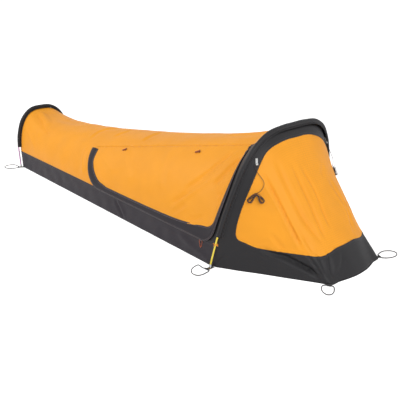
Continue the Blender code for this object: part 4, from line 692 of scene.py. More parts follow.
def strip_top():
    """Upper end of the dark strip, from the door hinge's head end to the hoop."""
    start = hinge_b(LENGTH - DOOR_HEAD_GAP)
    t = np.linspace(0, 1, 14)
    return pairs(blend(LENGTH - DOOR_HEAD_GAP, LENGTH, t), blend(start, start + 0.028, t))


def window_loop():
    """Outline of the porch's orange panel, in the porch skin's scaled coordinates."""
    length = np.linspace(0.01, 0.5 * HOOP_LENGTH, 400)
    share = skirt_share(length)
    first = length[np.argmax(share > band_share(length))]
    top = np.linspace(first, HOOP_LENGTH - first, 120)
    low = top[1:-1]
    loop = np.concatenate([pairs(top, band_share(top)), pairs(low, skirt_share(low))[::-1]]) * PORCH_SCALE
    for corner in (loop[0].copy(), loop[119].copy()):
        loop = round_corner(loop, corner, WINDOW_CORNER)
    return loop


def round_corner(loop, corner, radius):
    """Swap the points near a corner of a loop for a smooth curve."""
    near = length_of(loop - corner) < radius
    first = int(np.argmax(~near))
    loop = np.roll(loop, -first, axis=0)
    spots = np.nonzero(np.roll(near, -first))[0]
    a = corner + unit(loop[spots[0] - 1] - corner) * radius
    b = corner + unit(loop[(spots[-1] + 1) % len(loop)] - corner) * radius
    t = np.linspace(0, 1, 14)[:, None]
    bend = (1 - t) ** 2 * a + 2 * t * (1 - t) * corner + t**2 * b
    return np.concatenate([loop[:spots[0]], bend, loop[spots[-1] + 1:]])


WINDOW = window_loop()


def loop_offset(loop, distance):
    """Closed loop moved to its left at every corner."""
    tangent = unit(unit(np.roll(loop, -1, axis=0) - loop) + unit(loop - np.roll(loop, 1, axis=0)))
    return loop + pairs(-tangent[:, 1], tangent[:, 0]) * distance


# Folds


def fold(p, path, height, width):
    """Height that one soft fold adds at points p, fading out at both of its ends."""
    path = resample(np.array(path, float), 0.02)
    d = np.diff(path, axis=0)
    w = p[:, None, :] - path[None, :-1]
    t = np.clip((w * d).sum(-1) / (d * d).sum(-1), 0, 1)
    away = length_of(w - t[..., None] * d)
    k = away.argmin(axis=1)
    row = np.arange(len(p))
    share = (k + t[row, k]) / len(d)
    side = np.sign(d[k, 0] * w[row, k, 1] - d[k, 1] * w[row, k, 0])
    r = away[row, k] * side / width
    profile = np.exp(-r**2) - 0.45 * np.exp(-((r - 1.7) ** 2))
    return height * profile * ease(np.minimum(share, 1 - share) / 0.2)


def waves(p, seed, height, size):
    """Shallow uneven waves of the cloth between its folds."""
    rng = np.random.default_rng(seed)
    total = np.zeros(len(p))
    for _ in range(7):
        way = rng.uniform(0, pi)
        pitch = size * rng.uniform(0.6, 1.8)
        at = p[:, 0] * cos(way) + p[:, 1] * sin(way)
        bent = at + 0.3 * size * np.sin(p[:, 1] / size * 2 + seed)
        total += np.sin(2 * pi * bent / pitch + rng.uniform(0, 6.28))
    return height * total / 3


def folded(p, height, folds, scale=1.0):
    """Height at points p with a table's folds added, at the strength that is set."""
    total = sum((fold(p, np.array(path) * scale, rise, width) for path, rise, width in folds), height)
    return total * cloth_settings().fold_strength


def off_ends(x, total):
    """0 at both ends of a length, 1 from 30 mm inside them."""
    return ease(x / 0.03) * ease((total - x) / 0.03)


def body_relief(p):
    h = folded(p, waves(p, 3, 0.0011, 0.17), BODY_FOLDS)
    seams = off_ends(p[:, 1], arc_length(p[:, 0] / LENGTH))
    return h * off_ends(p[:, 0], LENGTH) * seams


def off_line(p, line):
    """0 on a line, 1 from 30 mm beside it."""
    return ease(np.sqrt(nearest(p, line, False)[0] ** 2 + 1e-12) / 0.03)


def door_relief(p):
    h = folded(p, waves(p, 5, 0.0008, 0.15), DOOR_FOLDS)
    return h * off_line(p, ZIP_LINE) * off_line(p, HINGE_LINE)


def canopy_relief(p):
    return body_relief(p) * off_line(p, HINGE_LINE) * off_line(p, ZIP_LINE[:40])


def porch_relief(p):
    q = p * PORCH_SCALE
    h = folded(q, waves(q, 9, 0.0010, 0.16), PORCH_FOLDS, PORCH_SCALE)
    near = np.minimum(p[:, 0], HOOP_LENGTH - p[:, 0])
    hollow = np.where(p[:, 0] < 0.5 * HOOP_LENGTH, *PORCH_HOLLOWS)
    h = h * (0.4 + 0.6 * ease(nearest(q, WINDOW, True)[0] / 0.03))
    h = h - hollow * np.exp(-((near - 0.60) / 0.15) ** 2 - ((p[:, 1] - 0.22) / 0.18) ** 2)
    h = h * ease(p[:, 1] / 0.06) * ease(near / 0.06)
    return h + HEM_PULL * np.exp(-((near - SHOULDER - 0.015) / 0.035) ** 2) * ease((p[:, 1] - 0.7) / 0.3)


def skirt_relief(p):
    h = folded(p, waves(p, 12, 0.0012, 0.12), SKIRT_FOLDS)
    low = ease((skirt_length(p[:, 0] / LENGTH) + p[:, 1]) / 0.02 + 0.4)
    return h * off_ends(p[:, 0], LENGTH) * low * ease(-p[:, 1] / 0.02)


# Sheets


def inside(points, loop):
    """Which points lie inside a closed loop."""
    b = np.roll(loop, -1, axis=0)
    x = points[:, 0][:, None]
    y = points[:, 1][:, None]
    crosses = (loop[:, 1] > y) != (b[:, 1] > y)
    dy = np.where(np.abs(b[:, 1] - loop[:, 1]) < 1e-12, 1e-12, b[:, 1] - loop[:, 1])
    at = loop[:, 0] + (y - loop[:, 1]) / dy * (b[:, 0] - loop[:, 0])
    return (crosses & (x < at)).sum(axis=1) % 2 == 1


def nearest(points, line, closed):
    """Distance from points to a line, and the run along the line of the nearest place."""
    d = (np.roll(line, -1, axis=0) - line) if closed else np.diff(line, axis=0)
    a = line if closed else line[:-1]
    best = np.full(len(points), 1e9)
    run = np.zeros(len(points))
    start = np.concatenate([[0], np.cumsum(length_of(d))])
    for low in range(0, len(points), 4000):
        w = points[low:low + 4000, None, :] - a[None]
        t = np.clip((w * d).sum(-1) / np.maximum((d * d).sum(-1), 1e-18), 0, 1)
        away = length_of(w - t[..., None] * d)
        k = away.argmin(axis=1)
        row = np.arange(len(w))
        best[low:low + 4000] = away[row, k]
        run[low:low + 4000] = start[k] + t[row, k] * length_of(d[k])
    return best, run


def refined(loop, step):
    """Closed loop with extra points on its long edges."""
    out = []
    for a, b in zip(loop, np.roll(loop, -1, axis=0)):
        count = max(int(ceil(np.linalg.norm(b - a) / step)), 1)
        out += [a + (b - a) * k / count for k in range(count)]
    return np.array(out)


def between(points, loops):
    """Which points lie inside the first loop and outside the others."""
    keep = inside(points, loops[0])
    for hole in loops[1:]:
        keep &= ~inside(points, hole)
    return keep


def filled(loops, extra=()):
    """Triangles over the outer loop less the holes, through extra points inside."""
    edges, points = [], []
    for loop in loops:
        start = len(points)
        edges += [(start + i, start + (i + 1) % len(loop)) for i in range(len(loop))]
        points += list(loop)
    points += list(extra)
    out = delaunay_2d_cdt([Vector((float(p[0]), float(p[1]))) for p in points], edges, [], 0, 1e-7)
    verts = np.array([(v.x, v.y) for v in out[0]])
    tris = np.array(out[2])
    return verts, tris[between(verts[tris].mean(axis=1), loops)]


def meshed(loops, guides, step):
    """Triangles over loops of cloth, with guide points and a grid inside."""
    def clear(some, margin):
        keep = between(some, loops)
        for loop in loops:
            keep &= nearest(some, loop, True)[0] > margin
        return some[keep]

    low, high = loops[0].min(axis=0), loops[0].max(axis=0)
    count = np.maximum(np.round((high - low) / step).astype(int), 1)
    x, y = (np.linspace(low[k], high[k], count[k] + 1)[1:-1] for k in (0, 1))
    gx, gy = np.meshgrid(x, y, indexing="ij")
    gx = gx + np.where(np.arange(len(y)) % 2, 0.25, -0.25) * step
    grid = clear(pairs(gx.ravel(), gy.ravel()), 0.5 * step)
    extra = []
    for line in guides:
        extra += list(clear(line, 0.0012))
        grid = grid[nearest(grid, line, False)[0] > 0.45 * step]
    return filled(loops, extra + list(grid))


def seam_sides(line, lap):
    """Lines beside a seam at which its step needs vertices."""
    fine = resample(line, 0.010)
    return [offset(fine, s * d) for s in (-1, 1) for d in (0.45 * lap, lap, lap + SEAM_SLOPE)]


def sheet(name, skin, loops, finish, body, slot, node, relief=None, seams=(), scale=(1, 1), lift=0.0,
          step=None, under=()):
    """One panel of cloth cut to loops in a skin's coordinates, with folds, felled seams and stitches.

    seams are the open lines along which it is sewn. under are lines beyond which it runs on below its neighbour."""
    settings = cloth_settings()
    step = step or settings.mesh_step
    lap = settings.seam_lap
    scale = np.array(scale, float)
    loops = [refined(np.asarray(loop) * scale, step) for loop in loops]
    seams = [np.asarray(line) * scale for line in seams]
    guides = [g for line in seams for g in seam_sides(line, lap)]
    verts, tris = meshed(loops, guides, step)
    points, way = skin(verts / scale)
    height = np.full(len(verts), float(lift))
    if relief is not None:
        height = height + relief(verts / scale)
    from_seam = np.full(len(verts), 1.0)
    run = np.zeros(len(verts))
    for line in seams:
        d, r = nearest(verts, line, False)
        closer = d < from_seam
        from_seam = np.where(closer, d, from_seam)
        run = np.where(closer, r, run)
    height = height + SEAM_RISE * ease((lap + 0.0012 - from_seam) / SEAM_SLOPE)
    for line, reach in under:
        d, _ = nearest(verts, np.asarray(line) * scale, False)
        height = height - (settings.thickness + 0.0002) * ease(d / 0.002) * reach(verts / scale)
    points = points + way * height[:, None]
    a, b, c = (points[tris[:, k]] for k in range(3))
    if (np.cross(b - a, c - a) * way[tris[:, 0]]).sum() < 0:
        tris = tris[:, ::-1]
    used = np.unique(tris)
    index = np.full(len(points), -1)
    index[used] = np.arange(len(used))
    tris = index[tris]
    uv = {"weave": verts[used], "seam": pairs(run, from_seam)[used]}
    obj = cloth_piece(name, points[used], tris, finish, uv)
    corners = points[used][tris]
    area = 0.5 * length_of(np.cross(corners[:, 1] - corners[:, 0], corners[:, 2] - corners[:, 0])).sum()
    width, length = (verts.max(axis=0) - verts.min(axis=0)) / (scale if scale[1] == 1 else 1)
    place(obj, body, slot, node)
    declare_sheet(float(width), float(length), float(area))
    return obj


def declare_sheet(width, length, area):
    """Work out a cloth piece's flat width and length, a curved band counted along its own length; nothing is done
    with them.
    """
    width, length = sorted((width, length))
    if not 0.35 < area / (width * length) < 0.98:
        width = area / (0.9 * length)


def linked(name, data):
    """New object in the scene."""
    obj = bpy.data.objects.new(name, data)
    bpy.context.scene.collection.objects.link(obj)
    return obj


def mesh_piece(name, points, faces, finish, uv=None):
    """New piece from points and faces, with its UV maps."""
    mesh = bpy.data.meshes.new(name)
    mesh.from_pydata([tuple(map(float, p)) for p in points], [], [tuple(map(int, f)) for f in faces])
    corners = np.array([loop.vertex_index for loop in mesh.loops])
    for title, values in (uv or {}).items():
        layer = mesh.uv_layers.new(name=title)
        layer.data.foreach_set("uv", np.asarray(values)[corners].astype(np.float32).ravel())
    mesh.materials.append(finish_of(finish))
    return linked(name, mesh)


def cloth_piece(name, points, faces, finish, uv, thick=None):
    """Thin sheet, smooth, thickened inwards."""
    obj = mesh_piece(name, points, faces, finish, uv)
    obj.data.shade_smooth()
    wall = obj.modifiers.new("cloth", "SOLIDIFY")
    wall.thickness = thick or cloth_settings().thickness
    wall.offset = -1
    return obj


def strip_sheet(name, rows, uv_rows, finish, body, slot, node, thick=None):
    """Cloth strip skinned over rows of points, each row running along the strip."""
    rows, uv_rows = np.asarray(rows), np.asarray(uv_rows)
    count, length = rows.shape[:2]
    faces = [(j * length + i, j * length + i + 1, (j + 1) * length + i + 1, (j + 1) * length + i)
             for j in range(count - 1) for i in range(length - 1)]
    points = rows.reshape(-1, 3)
    uv = {"weave": uv_rows.reshape(-1, 2), "seam": edge_uv(uv_rows).reshape(-1, 2)}
    obj = cloth_piece(name, points, faces, finish, uv, thick)
    width = float(length_of(np.diff(rows, axis=0)).sum(axis=0).max())
    along = float(length_of(np.diff(rows, axis=1)).sum(axis=1).max())
    a, b, c, d = (points[[f[k] for f in faces]] for k in range(4))
    halves = [length_of(np.cross(q - a, r - a)) for q, r in ((b, c), (c, d))]
    area = float(0.5 * (halves[0] + halves[1]).sum())
    place(obj, body, slot, node)
    if width > 0.012:
        declare_sheet(width, along, area)
    return obj


def edge_uv(uv_rows):
    """Run along a strip and the distance in from its nearer long edge."""
    across = uv_rows[..., 1]
    return pairs(uv_rows[..., 0], np.minimum(np.abs(across - across[:1]), np.abs(across[-1:] - across)))


def outward(obj, way=None):
    """Turn a closed piece's faces outwards, or a sheet's to the side that way points to."""
    bm = bmesh.new()
    bm.from_mesh(obj.data)
    bm.normal_update()
    if way is None:
        bmesh.ops.recalc_face_normals(bm, faces=bm.faces)
    elif sum(f.normal.dot(way(f.calc_center_median())) * f.calc_area() for f in bm.faces) < 0:
        bmesh.ops.reverse_faces(bm, faces=bm.faces)
    bm.to_mesh(obj.data)
    bm.free()


def place(obj, body, slot, *nodes, finish=None):
    """Give a finished piece its body and hide the frame's pieces it stands for; its slot is not used."""
    if finish:
        obj.data.materials.append(finish_of(finish))
    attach(obj, body)
    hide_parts(*nodes)


# Finishes


def linear(hex_colour, factor=1.0):
    """sRGB hex, made darker or lighter by a factor, turned to linear."""
    values = [int(min(int(hex_colour.lstrip("#")[k:k + 2], 16) * factor, 255)) / 255 for k in (0, 2, 4)]
    return tuple(v / 12.92 if v <= 0.04045 else ((v + 0.055) / 1.055) ** 2.4 for v in values) + (1.0,)


def add_node(tree, kind, inputs=None, **fields):
    """Add a node, set its fields, set or link its inputs, and hand back its outputs."""
    made = tree.nodes.new("ShaderNode" + kind)
    for key, value in fields.items():
        setattr(made, key, value)
    for key, value in (inputs or {}).items():
        if isinstance(value, bpy.types.NodeSocket):
            tree.links.new(value, made.inputs[key])
        else:
            made.inputs[key].default_value = value
    return made.outputs


def shader_of(name, colour, roughness, **sockets):
    """A new material's Principled shader with its plain settings."""
    material = bpy.data.materials.new(name)
    material.use_nodes = True
    shader = material.node_tree.nodes["Principled BSDF"]
    shader.inputs["Base Color"].default_value = linear(colour)
    shader.inputs["Roughness"].default_value = roughness
    for key, value in sockets.items():
        shader.inputs[key.replace("_", " ")].default_value = value
    return material, material.node_tree, shader


def thin_lines(tree, source, pitch, width):
    """1 on thin lines a pitch apart across a coordinate, else 0."""
    part = add_node(tree, "Math", {0: source, 1: 1 / pitch}, operation="MULTIPLY")[0]
    part = add_node(tree, "Math", {0: part}, operation="FRACT")[0]
    return add_node(tree, "Math", {0: part, 1: width / pitch}, operation="LESS_THAN")[0]


def finish_surface(tree, shader, low, high, share, height, strength, distance):
    """Colour between two tones by a share, and a bump."""
    base = add_node(tree, "Mix", {0: share, 6: low, 7: high}, data_type="RGBA")[2]
    tree.links.new(base, shader.inputs["Base Color"])
    bump = add_node(tree, "Bump", {"Height": height, "Strength": strength, "Distance": distance})[0]
    tree.links.new(bump, shader.inputs["Normal"])


def woven_cloth(name, colour, roughness, thread, grid=0.008, grid_tone=0.96, mottle=0.02, stitch=0.00045, shine=0.2):
    """Coated cloth with its ripstop grid, uneven coating and the stitches of its seams.

    The ripstop threads are drawn every 8 mm, coarser than the real 5 mm, so that they show."""
    material, tree, shader = shader_of(name, colour, roughness, Specular_IOR_Level=shine)
    weave = add_node(tree, "SeparateXYZ", {0: add_node(tree, "UVMap", uv_map="weave")[0]})
    seam = add_node(tree, "SeparateXYZ", {0: add_node(tree, "UVMap", uv_map="seam")[0]})
    warp, weft = (thin_lines(tree, weave[k], grid, 0.0011) for k in (0, 1))
    threads = add_node(tree, "Math", {0: warp, 1: weft}, operation="MAXIMUM")[0]
    at = add_node(tree, "TexCoord")["Object"]
    cloud = add_node(tree, "TexNoise", {"Vector": at, "Scale": 7.0, "Detail": 4.0, "Roughness": 0.55})[0]
    cloud = add_node(tree, "MapRange", {"Value": cloud, "From Min": 0.3, "From Max": 0.7})[0]
    base = add_node(tree, "Mix", {0: cloud, 6: linear(colour, 1 - mottle), 7: linear(colour, 1 + mottle)},
                    data_type="RGBA")[2]
    base = add_node(tree, "Mix", {0: threads, 6: base, 7: linear(colour, grid_tone)}, data_type="RGBA")[2]
    rows = [add_node(tree, "Math", {0: seam[1], 1: at_row, 2: stitch}, operation="COMPARE")[0]
            for at_row in STITCH_ROWS]
    rows = add_node(tree, "Math", {0: rows[0], 1: rows[1]}, operation="MAXIMUM")[0]
    stitches = thin_lines(tree, seam[0], 0.0034, 0.0026)
    stitches = add_node(tree, "Math", {0: rows, 1: stitches}, operation="MULTIPLY")[0]
    fine = add_node(tree, "TexNoise", {"Vector": at, "Scale": 900.0, "Detail": 2.0})[0]
    relief = add_node(tree, "Math", {0: fine, 1: threads}, operation="ADD")[0]
    relief = add_node(tree, "Math", {0: relief, 1: stitches}, operation="ADD")[0]
    finish_surface(tree, shader, base, linear(thread), stitches, relief, 0.25, 0.0004)
    return material


def speckled(name, colour, roughness, scale, depth, mottle=0.06, **sockets):
    """Plain finish with small unevenness in its colour and surface, scale in millimetres."""
    material, tree, shader = shader_of(name, colour, roughness, **sockets)
    at = add_node(tree, "TexCoord")["Object"]
    noise = add_node(tree, "TexNoise", {"Vector": at, "Scale": 1000.0 / scale, "Detail": 3.0})[0]
    finish_surface(tree, shader, linear(colour, 1 - mottle), linear(colour, 1 + mottle), noise, noise, 0.3, depth)
    return material


def webbing_finish(name, colour, roughness):
    """Flat-woven webbing: fine ribs across its width every 1.5 mm."""
    material, tree, shader = shader_of(name, colour, roughness, Sheen_Weight=0.2)
    weave = add_node(tree, "SeparateXYZ", {0: add_node(tree, "UVMap", uv_map="weave")[0]})
    across, along = (thin_lines(tree, weave[k], pitch, 0.0006) for k, pitch in ((0, 0.0015), (1, 0.003)))
    ribs = add_node(tree, "Math", {0: across, 1: along}, operation="MAXIMUM")[0]
    finish_surface(tree, shader, linear(colour), linear(colour, 0.78), ribs, ribs, 0.5, 0.0003)
    return material


def braided(name, colour, roughness):
    """Braided cord: crossing strands give a broken, slightly rough surface at about 1 mm."""
    material, tree, shader = shader_of(name, colour, roughness, Sheen_Weight=0.2)
    at = add_node(tree, "TexCoord")["Object"]
    cells = add_node(tree, "TexVoronoi", {"Vector": at, "Scale": 900.0})[0]
    finish_surface(tree, shader, linear(colour, 0.72), linear(colour, 1.2), cells, cells, 0.5, 0.0004)
    return material


def drawn_metal(name, colour, roughness, way):
    """Anodised or turned metal: fine lines round or along it, drawn 0.6 mm apart so that they show."""
    material, tree, shader = shader_of(name, colour, roughness, Metallic=1.0)
    spread = add_node(tree, "Mapping", {"Vector": add_node(tree, "TexCoord")["Object"], "Scale": way})[0]
    noise = add_node(tree, "TexNoise", {"Vector": spread, "Scale": 1.0, "Detail": 3.0})[0]
    rough = add_node(tree, "MapRange", {"Value": noise, "To Min": roughness - 0.07, "To Max": roughness + 0.10})[0]
    tree.links.new(rough, shader.inputs["Roughness"])
    base = add_node(tree, "Mix", {0: noise, 6: linear(colour, 0.94), 7: linear(colour, 1.05)}, data_type="RGBA")[2]
    tree.links.new(base, shader.inputs["Base Color"])
    return material


def stained_wood(name, colour):
    """Stained, oiled wood: long grain about 1.5 mm wide with a low shine."""
    material, tree, shader = shader_of(name, colour, 0.42)
    spread = add_node(tree, "Mapping", {"Vector": add_node(tree, "TexCoord")["Object"],
                                        "Scale": (120.0, 520.0, 520.0)})[0]
    noise = add_node(tree, "TexNoise", {"Vector": spread, "Scale": 1.0, "Detail": 4.0})[0]
    finish_surface(tree, shader, linear(colour, 0.72), linear(colour, 1.18), noise, noise, 0.3, 0.0002)
    return material


def finish_of(name):
    """The named finish, made when it is first asked for."""
    if name in bpy.data.materials and bpy.data.materials[name].get("bivvy"):
        return bpy.data.materials[name]
    cloth, parts = cloth_settings(), hardware()
    makers = {
        # Silicone-coated ripstop nylon: a smooth satin face with a faint square grid
        "Ripstop body": lambda n: woven_cloth(n, cloth.body_colour, 0.5, "#D9862A"),
        "Ripstop porch": lambda n: woven_cloth(n, cloth.porch_colour, 0.5, "#DB8422"),
        # Dark coated ripstop: flatter, with a cooler sheen along its folds
        "Ripstop dark": lambda n: woven_cloth(n, cloth.dark_colour, 0.5, "#464446", grid_tone=1.08, shine=0.22),
        # The same cloth for the storm flap, topstitched in a paler thread
        "Ripstop flap": lambda n: woven_cloth(n, "#272328", 0.55, "#6E6466", grid_tone=1.08, stitch=0.0008),
        # Heavy coated floor cloth: tighter weave and a low waxy shine
        "Floor cloth": lambda n: woven_cloth(n, cloth.floor_colour, 0.55, "#505056", grid=0.006, grid_tone=1.06),
        # Anodised aluminium tube: coloured satin metal with fine lines from drawing
        "Gold anodised tube": lambda n: drawn_metal(n, parts.head_pole_colour, 0.36, (700.0, 700.0, 60.0)),
        "Mauve anodised tube": lambda n: drawn_metal(n, parts.foot_pole_colour, 0.36, (700.0, 700.0, 60.0)),
        # Turned steel: bright with tool lines round it
        "Turned steel": lambda n: drawn_metal(n, "#B9B9BB", 0.30, (80.0, 80.0, 900.0)),
        # Pressed brass: dull gold with a worn face
        "Pressed brass": lambda n: drawn_metal(n, "#A88F55", 0.40, (300.0, 300.0, 300.0)),
        # Die-cast zinc with a grey lacquer: smooth, soft highlights
        "Lacquered zinc": lambda n: speckled(n, "#58585C", 0.38, 1.2, 0.0001, Metallic=0.6),
        # Braided nylon cord
        "Grey braided cord": lambda n: braided(n, parts.cord_colour, 0.75),
        "Guy cord": lambda n: braided(n, "#3B2A29", 0.75),
        "Pull cord": lambda n: braided(n, "#C8602F", 0.65),
        "Elastic cord": lambda n: braided(n, "#33302F", 0.7),
        # Woven webbing, matte
        "Dark webbing": lambda n: webbing_finish(n, "#2C2B2D", 0.8),
        "White webbing": lambda n: webbing_finish(n, "#EDEDEA", 0.7),
        # Moulded acetal: smooth and slightly waxy
        "Orange acetal": lambda n: speckled(n, parts.clip_colour, 0.42, 3.0, 0.0001),
        "Stained toggle": lambda n: stained_wood(n, parts.toggle_colour),
        # Nylon coil: fine dark teeth with small glints
        "Nylon coil": lambda n: speckled(n, "#262528", 0.45, 1.5, 0.0001),
        "Zip tape": lambda n: woven_cloth(n, "#2E2D30", 0.8, "#3A393C", grid=0.002, grid_tone=1.15),
    }
    material = makers[name](name)
    material["bivvy"] = True
    return material


# Hard parts, modelled by hand


def start_piece():
    """Leave edit mode and deselect everything."""
    if bpy.context.object and bpy.context.object.mode != "OBJECT":
        bpy.ops.object.mode_set(mode="OBJECT")
    bpy.ops.object.select_all(action="DESELECT")


def turned(name, profile, sides):
    """Round piece grown ring by ring up Z from a disc: profile holds (height, radius) pairs."""
    start_piece()
    bpy.ops.mesh.primitive_circle_add(vertices=sides, radius=profile[0][1], fill_type="NGON",
                                      location=(0, 0, profile[0][0]))
    obj = bpy.context.object
    obj.name = name
    bpy.ops.object.mode_set(mode="EDIT")
    bpy.ops.mesh.select_all(action="SELECT")
    for (z0, r0), (z1, r1) in zip(profile, profile[1:]):
        extrude(0, 0, z1 - z0)
        if abs(r1 - r0) > 1e-9:
            bpy.ops.transform.resize(value=(r1 / r0, r1 / r0, 1))
    close_piece(obj)
    bpy.ops.object.shade_smooth_by_angle(angle=radians(35))
    return obj


def extrude(x, y, z):
    """Extrude what is selected by this much."""
    bpy.ops.mesh.extrude_region_move(TRANSFORM_OT_translate={"value": (x, y, z)})


def close_piece(obj):
    """Turn all of a shaped piece's faces outwards, leave edit mode and settle it."""
    bpy.ops.mesh.select_all(action="SELECT")
    bpy.ops.mesh.normals_make_consistent(inside=False)
    bpy.ops.object.mode_set(mode="OBJECT")
    settle(obj)


def settle(obj):
    """Put a piece's place into its mesh, so that the object sits at the origin."""
    obj.data.transform(obj.matrix_basis)
    obj.matrix_basis = Matrix.Identity(4)


def select_only(obj):
    """Select one piece and make it the active one."""
    start_piece()
    obj.select_set(True)
    bpy.context.view_layer.objects.active = obj


def finish_edges(obj, width, segments=2, angle=35, smooth=35):
    """Round a piece's edges and shade it smooth between the sharper ones."""
    select_only(obj)
    mod = obj.modifiers.new("edges", "BEVEL")
    mod.width = width
    mod.segments = segments
    mod.limit_method = "ANGLE"
    mod.angle_limit = radians(angle)
    bpy.ops.object.modifier_apply(modifier=mod.name)
    bpy.ops.object.shade_smooth_by_angle(angle=radians(smooth))


def pick_faces(obj, test):
    """Select only the faces that a test takes, by centre and normal."""
    bm = bmesh.from_edit_mesh(obj.data)
    for face in bm.faces:
        face.select = bool(test(face.calc_center_median(), face.normal))
    bm.select_flush_mode()
    bmesh.update_edit_mesh(obj.data)


def copied(obj, name, matrix):
    """Copy of a piece with its own mesh, placed by a matrix."""
    mesh = obj.data.copy()
    mesh.transform(matrix)
    if matrix.determinant() < 0:
        mesh.flip_normals()
    return linked(name, mesh)


def drop(obj):
    bpy.data.objects.remove(obj, do_unlink=True)


def axes_matrix(origin, x, y, z):
    """Matrix that takes a piece from the origin to a place with these axes."""
    rows = np.stack([x, y, z, origin], -1)
    return Matrix([[float(c) for c in row] for row in rows] + [[0, 0, 0, 1]])


def ring_piece(name, radius, depth, bore, sides):
    """Disc with a hole through it: a cylinder whose two ends are inset and bridged."""
    start_piece()
    bpy.ops.mesh.primitive_cylinder_add(vertices=sides, radius=radius, depth=depth)
    obj = bpy.context.object
    obj.name = name
    bpy.ops.object.mode_set(mode="EDIT")
    pick_faces(obj, lambda c, n: abs(n.z) > 0.9)
    bpy.ops.mesh.inset(thickness=radius - bore)
    bpy.ops.mesh.bridge_edge_loops()
    close_piece(obj)
    return obj


def cord_curve(name, points, radius, finish, closed=False):
    """Round cord as a bevelled curve along its points."""
    data = bpy.data.curves.new(name, "CURVE")
    data.dimensions = "3D"
    data.bevel_depth = radius
    data.bevel_resolution = 3
    data.use_fill_caps = not closed
    spline = data.splines.new("POLY")
    spline.points.add(len(points) - 1)
    for knot, at in zip(spline.points, points):
        knot.co = (*[float(c) for c in at], 1)
    spline.use_cyclic_u = closed
    spline.use_smooth = True
    data.materials.append(finish_of(finish))
    return linked(name, data)


def as_mesh(obj):
    """Turn a curve into a mesh."""
    select_only(obj)
    bpy.ops.object.convert(target="MESH")
    return bpy.context.object


# Hoops


def hoop_plane(u):
    """The hoop's foot on the ground's centre line, and its plane's normal."""
    tilt = float(lean(u))
    return np.array([FOOT_X + LENGTH * u, 0, 0]), np.array([cos(tilt), 0, -sin(tilt)])


def hoop_points(u, end, away):
    """Even points along a hoop between its sleeve's ends, and the outward directions there."""
    total = float(arc_length(float(u)))
    low = length_up(float(u), end / cos(float(lean(u))))
    b = np.linspace(low, total - low, int((total - 2 * low) / 0.010))
    points, way = body_skin(pairs(LENGTH * u, b))
    return points + way * away, way, b


def pole_path(u, span, end):
    base, _ = hoop_plane(u)
    run, _, _ = hoop_points(u, end, SLEEVE_R + POLE_PRESS)
    near = base + np.array([0, -span, 0])
    start = near + unit(run[0] - near) * TIP_LENGTH
    leg = np.stack([blend(start, run[0], t) for t in np.linspace(0, 0.94, 10)])
    return np.concatenate([leg, run[1:-1], mirror(leg)[::-1]])


class BIVVY_OT_skirts(Operator):
    """Floor and the dark skirts that rise from it to the seam."""
    bl_idname = "bivvy.skirts"
    bl_label = "Floor and skirts"

    def execute(self, context):
        finish = "Floor cloth"
        x = np.linspace(0.0, LENGTH, 120)
        cloth = np.concatenate([pairs(x, -skirt_length(x / LENGTH)), pairs(x, TUCK)[::-1]])
        over = lambda p: pairs(p[:, 0], arc_length(p[:, 0] / LENGTH) - p[:, 1])
        for side, to in (("near", np.asarray), ("far", over)):
            sheet(f"skirt_{side}_side", body_skin, [to(cloth)], finish, "tent", "floor_cloth", f"skirt_{side}",
                  relief=lambda p: skirt_relief(to(p)), seams=[to(pairs(x, -0.0005))],
                  under=[(to(pairs(x, 0)), lambda p: (to(p)[:, 1] > 0) * 1.0)])
        low, wide = BASE_FOOT - 0.0006, SEAM_FOOT - 0.0006
        end = np.array([[-low, 0.0], [low, 0.0], [wide, SEAM_Z_FOOT + 0.006], [-wide, SEAM_Z_FOOT + 0.006]])
        sheet("skirt_foot_end", foot_plane, [end], finish, "tent", "floor_cloth", "skirt_foot", lift=-0.0012,
              relief=lambda p: waves(p, 21, 0.0008, 0.12) * ease(p[:, 1] / 0.03))
        sheet("groundsheet", floor_plane, [floor_line()], finish, "tent", "floor_cloth", "groundsheet",
              step=0.03, relief=lambda p: 0.0003 + 0 * p[:, 0])
        return {"FINISHED"}


def foot_plane(p):
    """Foot hoop's plane, at (side, slant height)."""
    points = to_space(0 * p[:, 0], p[:, 0], p[:, 1])
    out = np.array([-cos(FOOT_LEAN), 0, sin(FOOT_LEAN)])
    return points, np.broadcast_to(out, points.shape)


def floor_plane(p):
    points = np.stack([p[:, 0], p[:, 1], np.full(len(p), FLOOR_Z)], -1)
    return points, np.broadcast_to(UP, points.shape)


def floor_line():
    """Outline of the floor, along the feet of the skirts."""
    x, y, _, _ = ground_line(ground_run(np.linspace(PORCH_START, 0.5 * HOOP_LENGTH, 90)))
    near = np.concatenate([[[FOOT_X + 0.001, -BASE_FOOT]], pairs(x, y)])
    return np.concatenate([near, near[::-1][1:] * np.array([1, -1])])


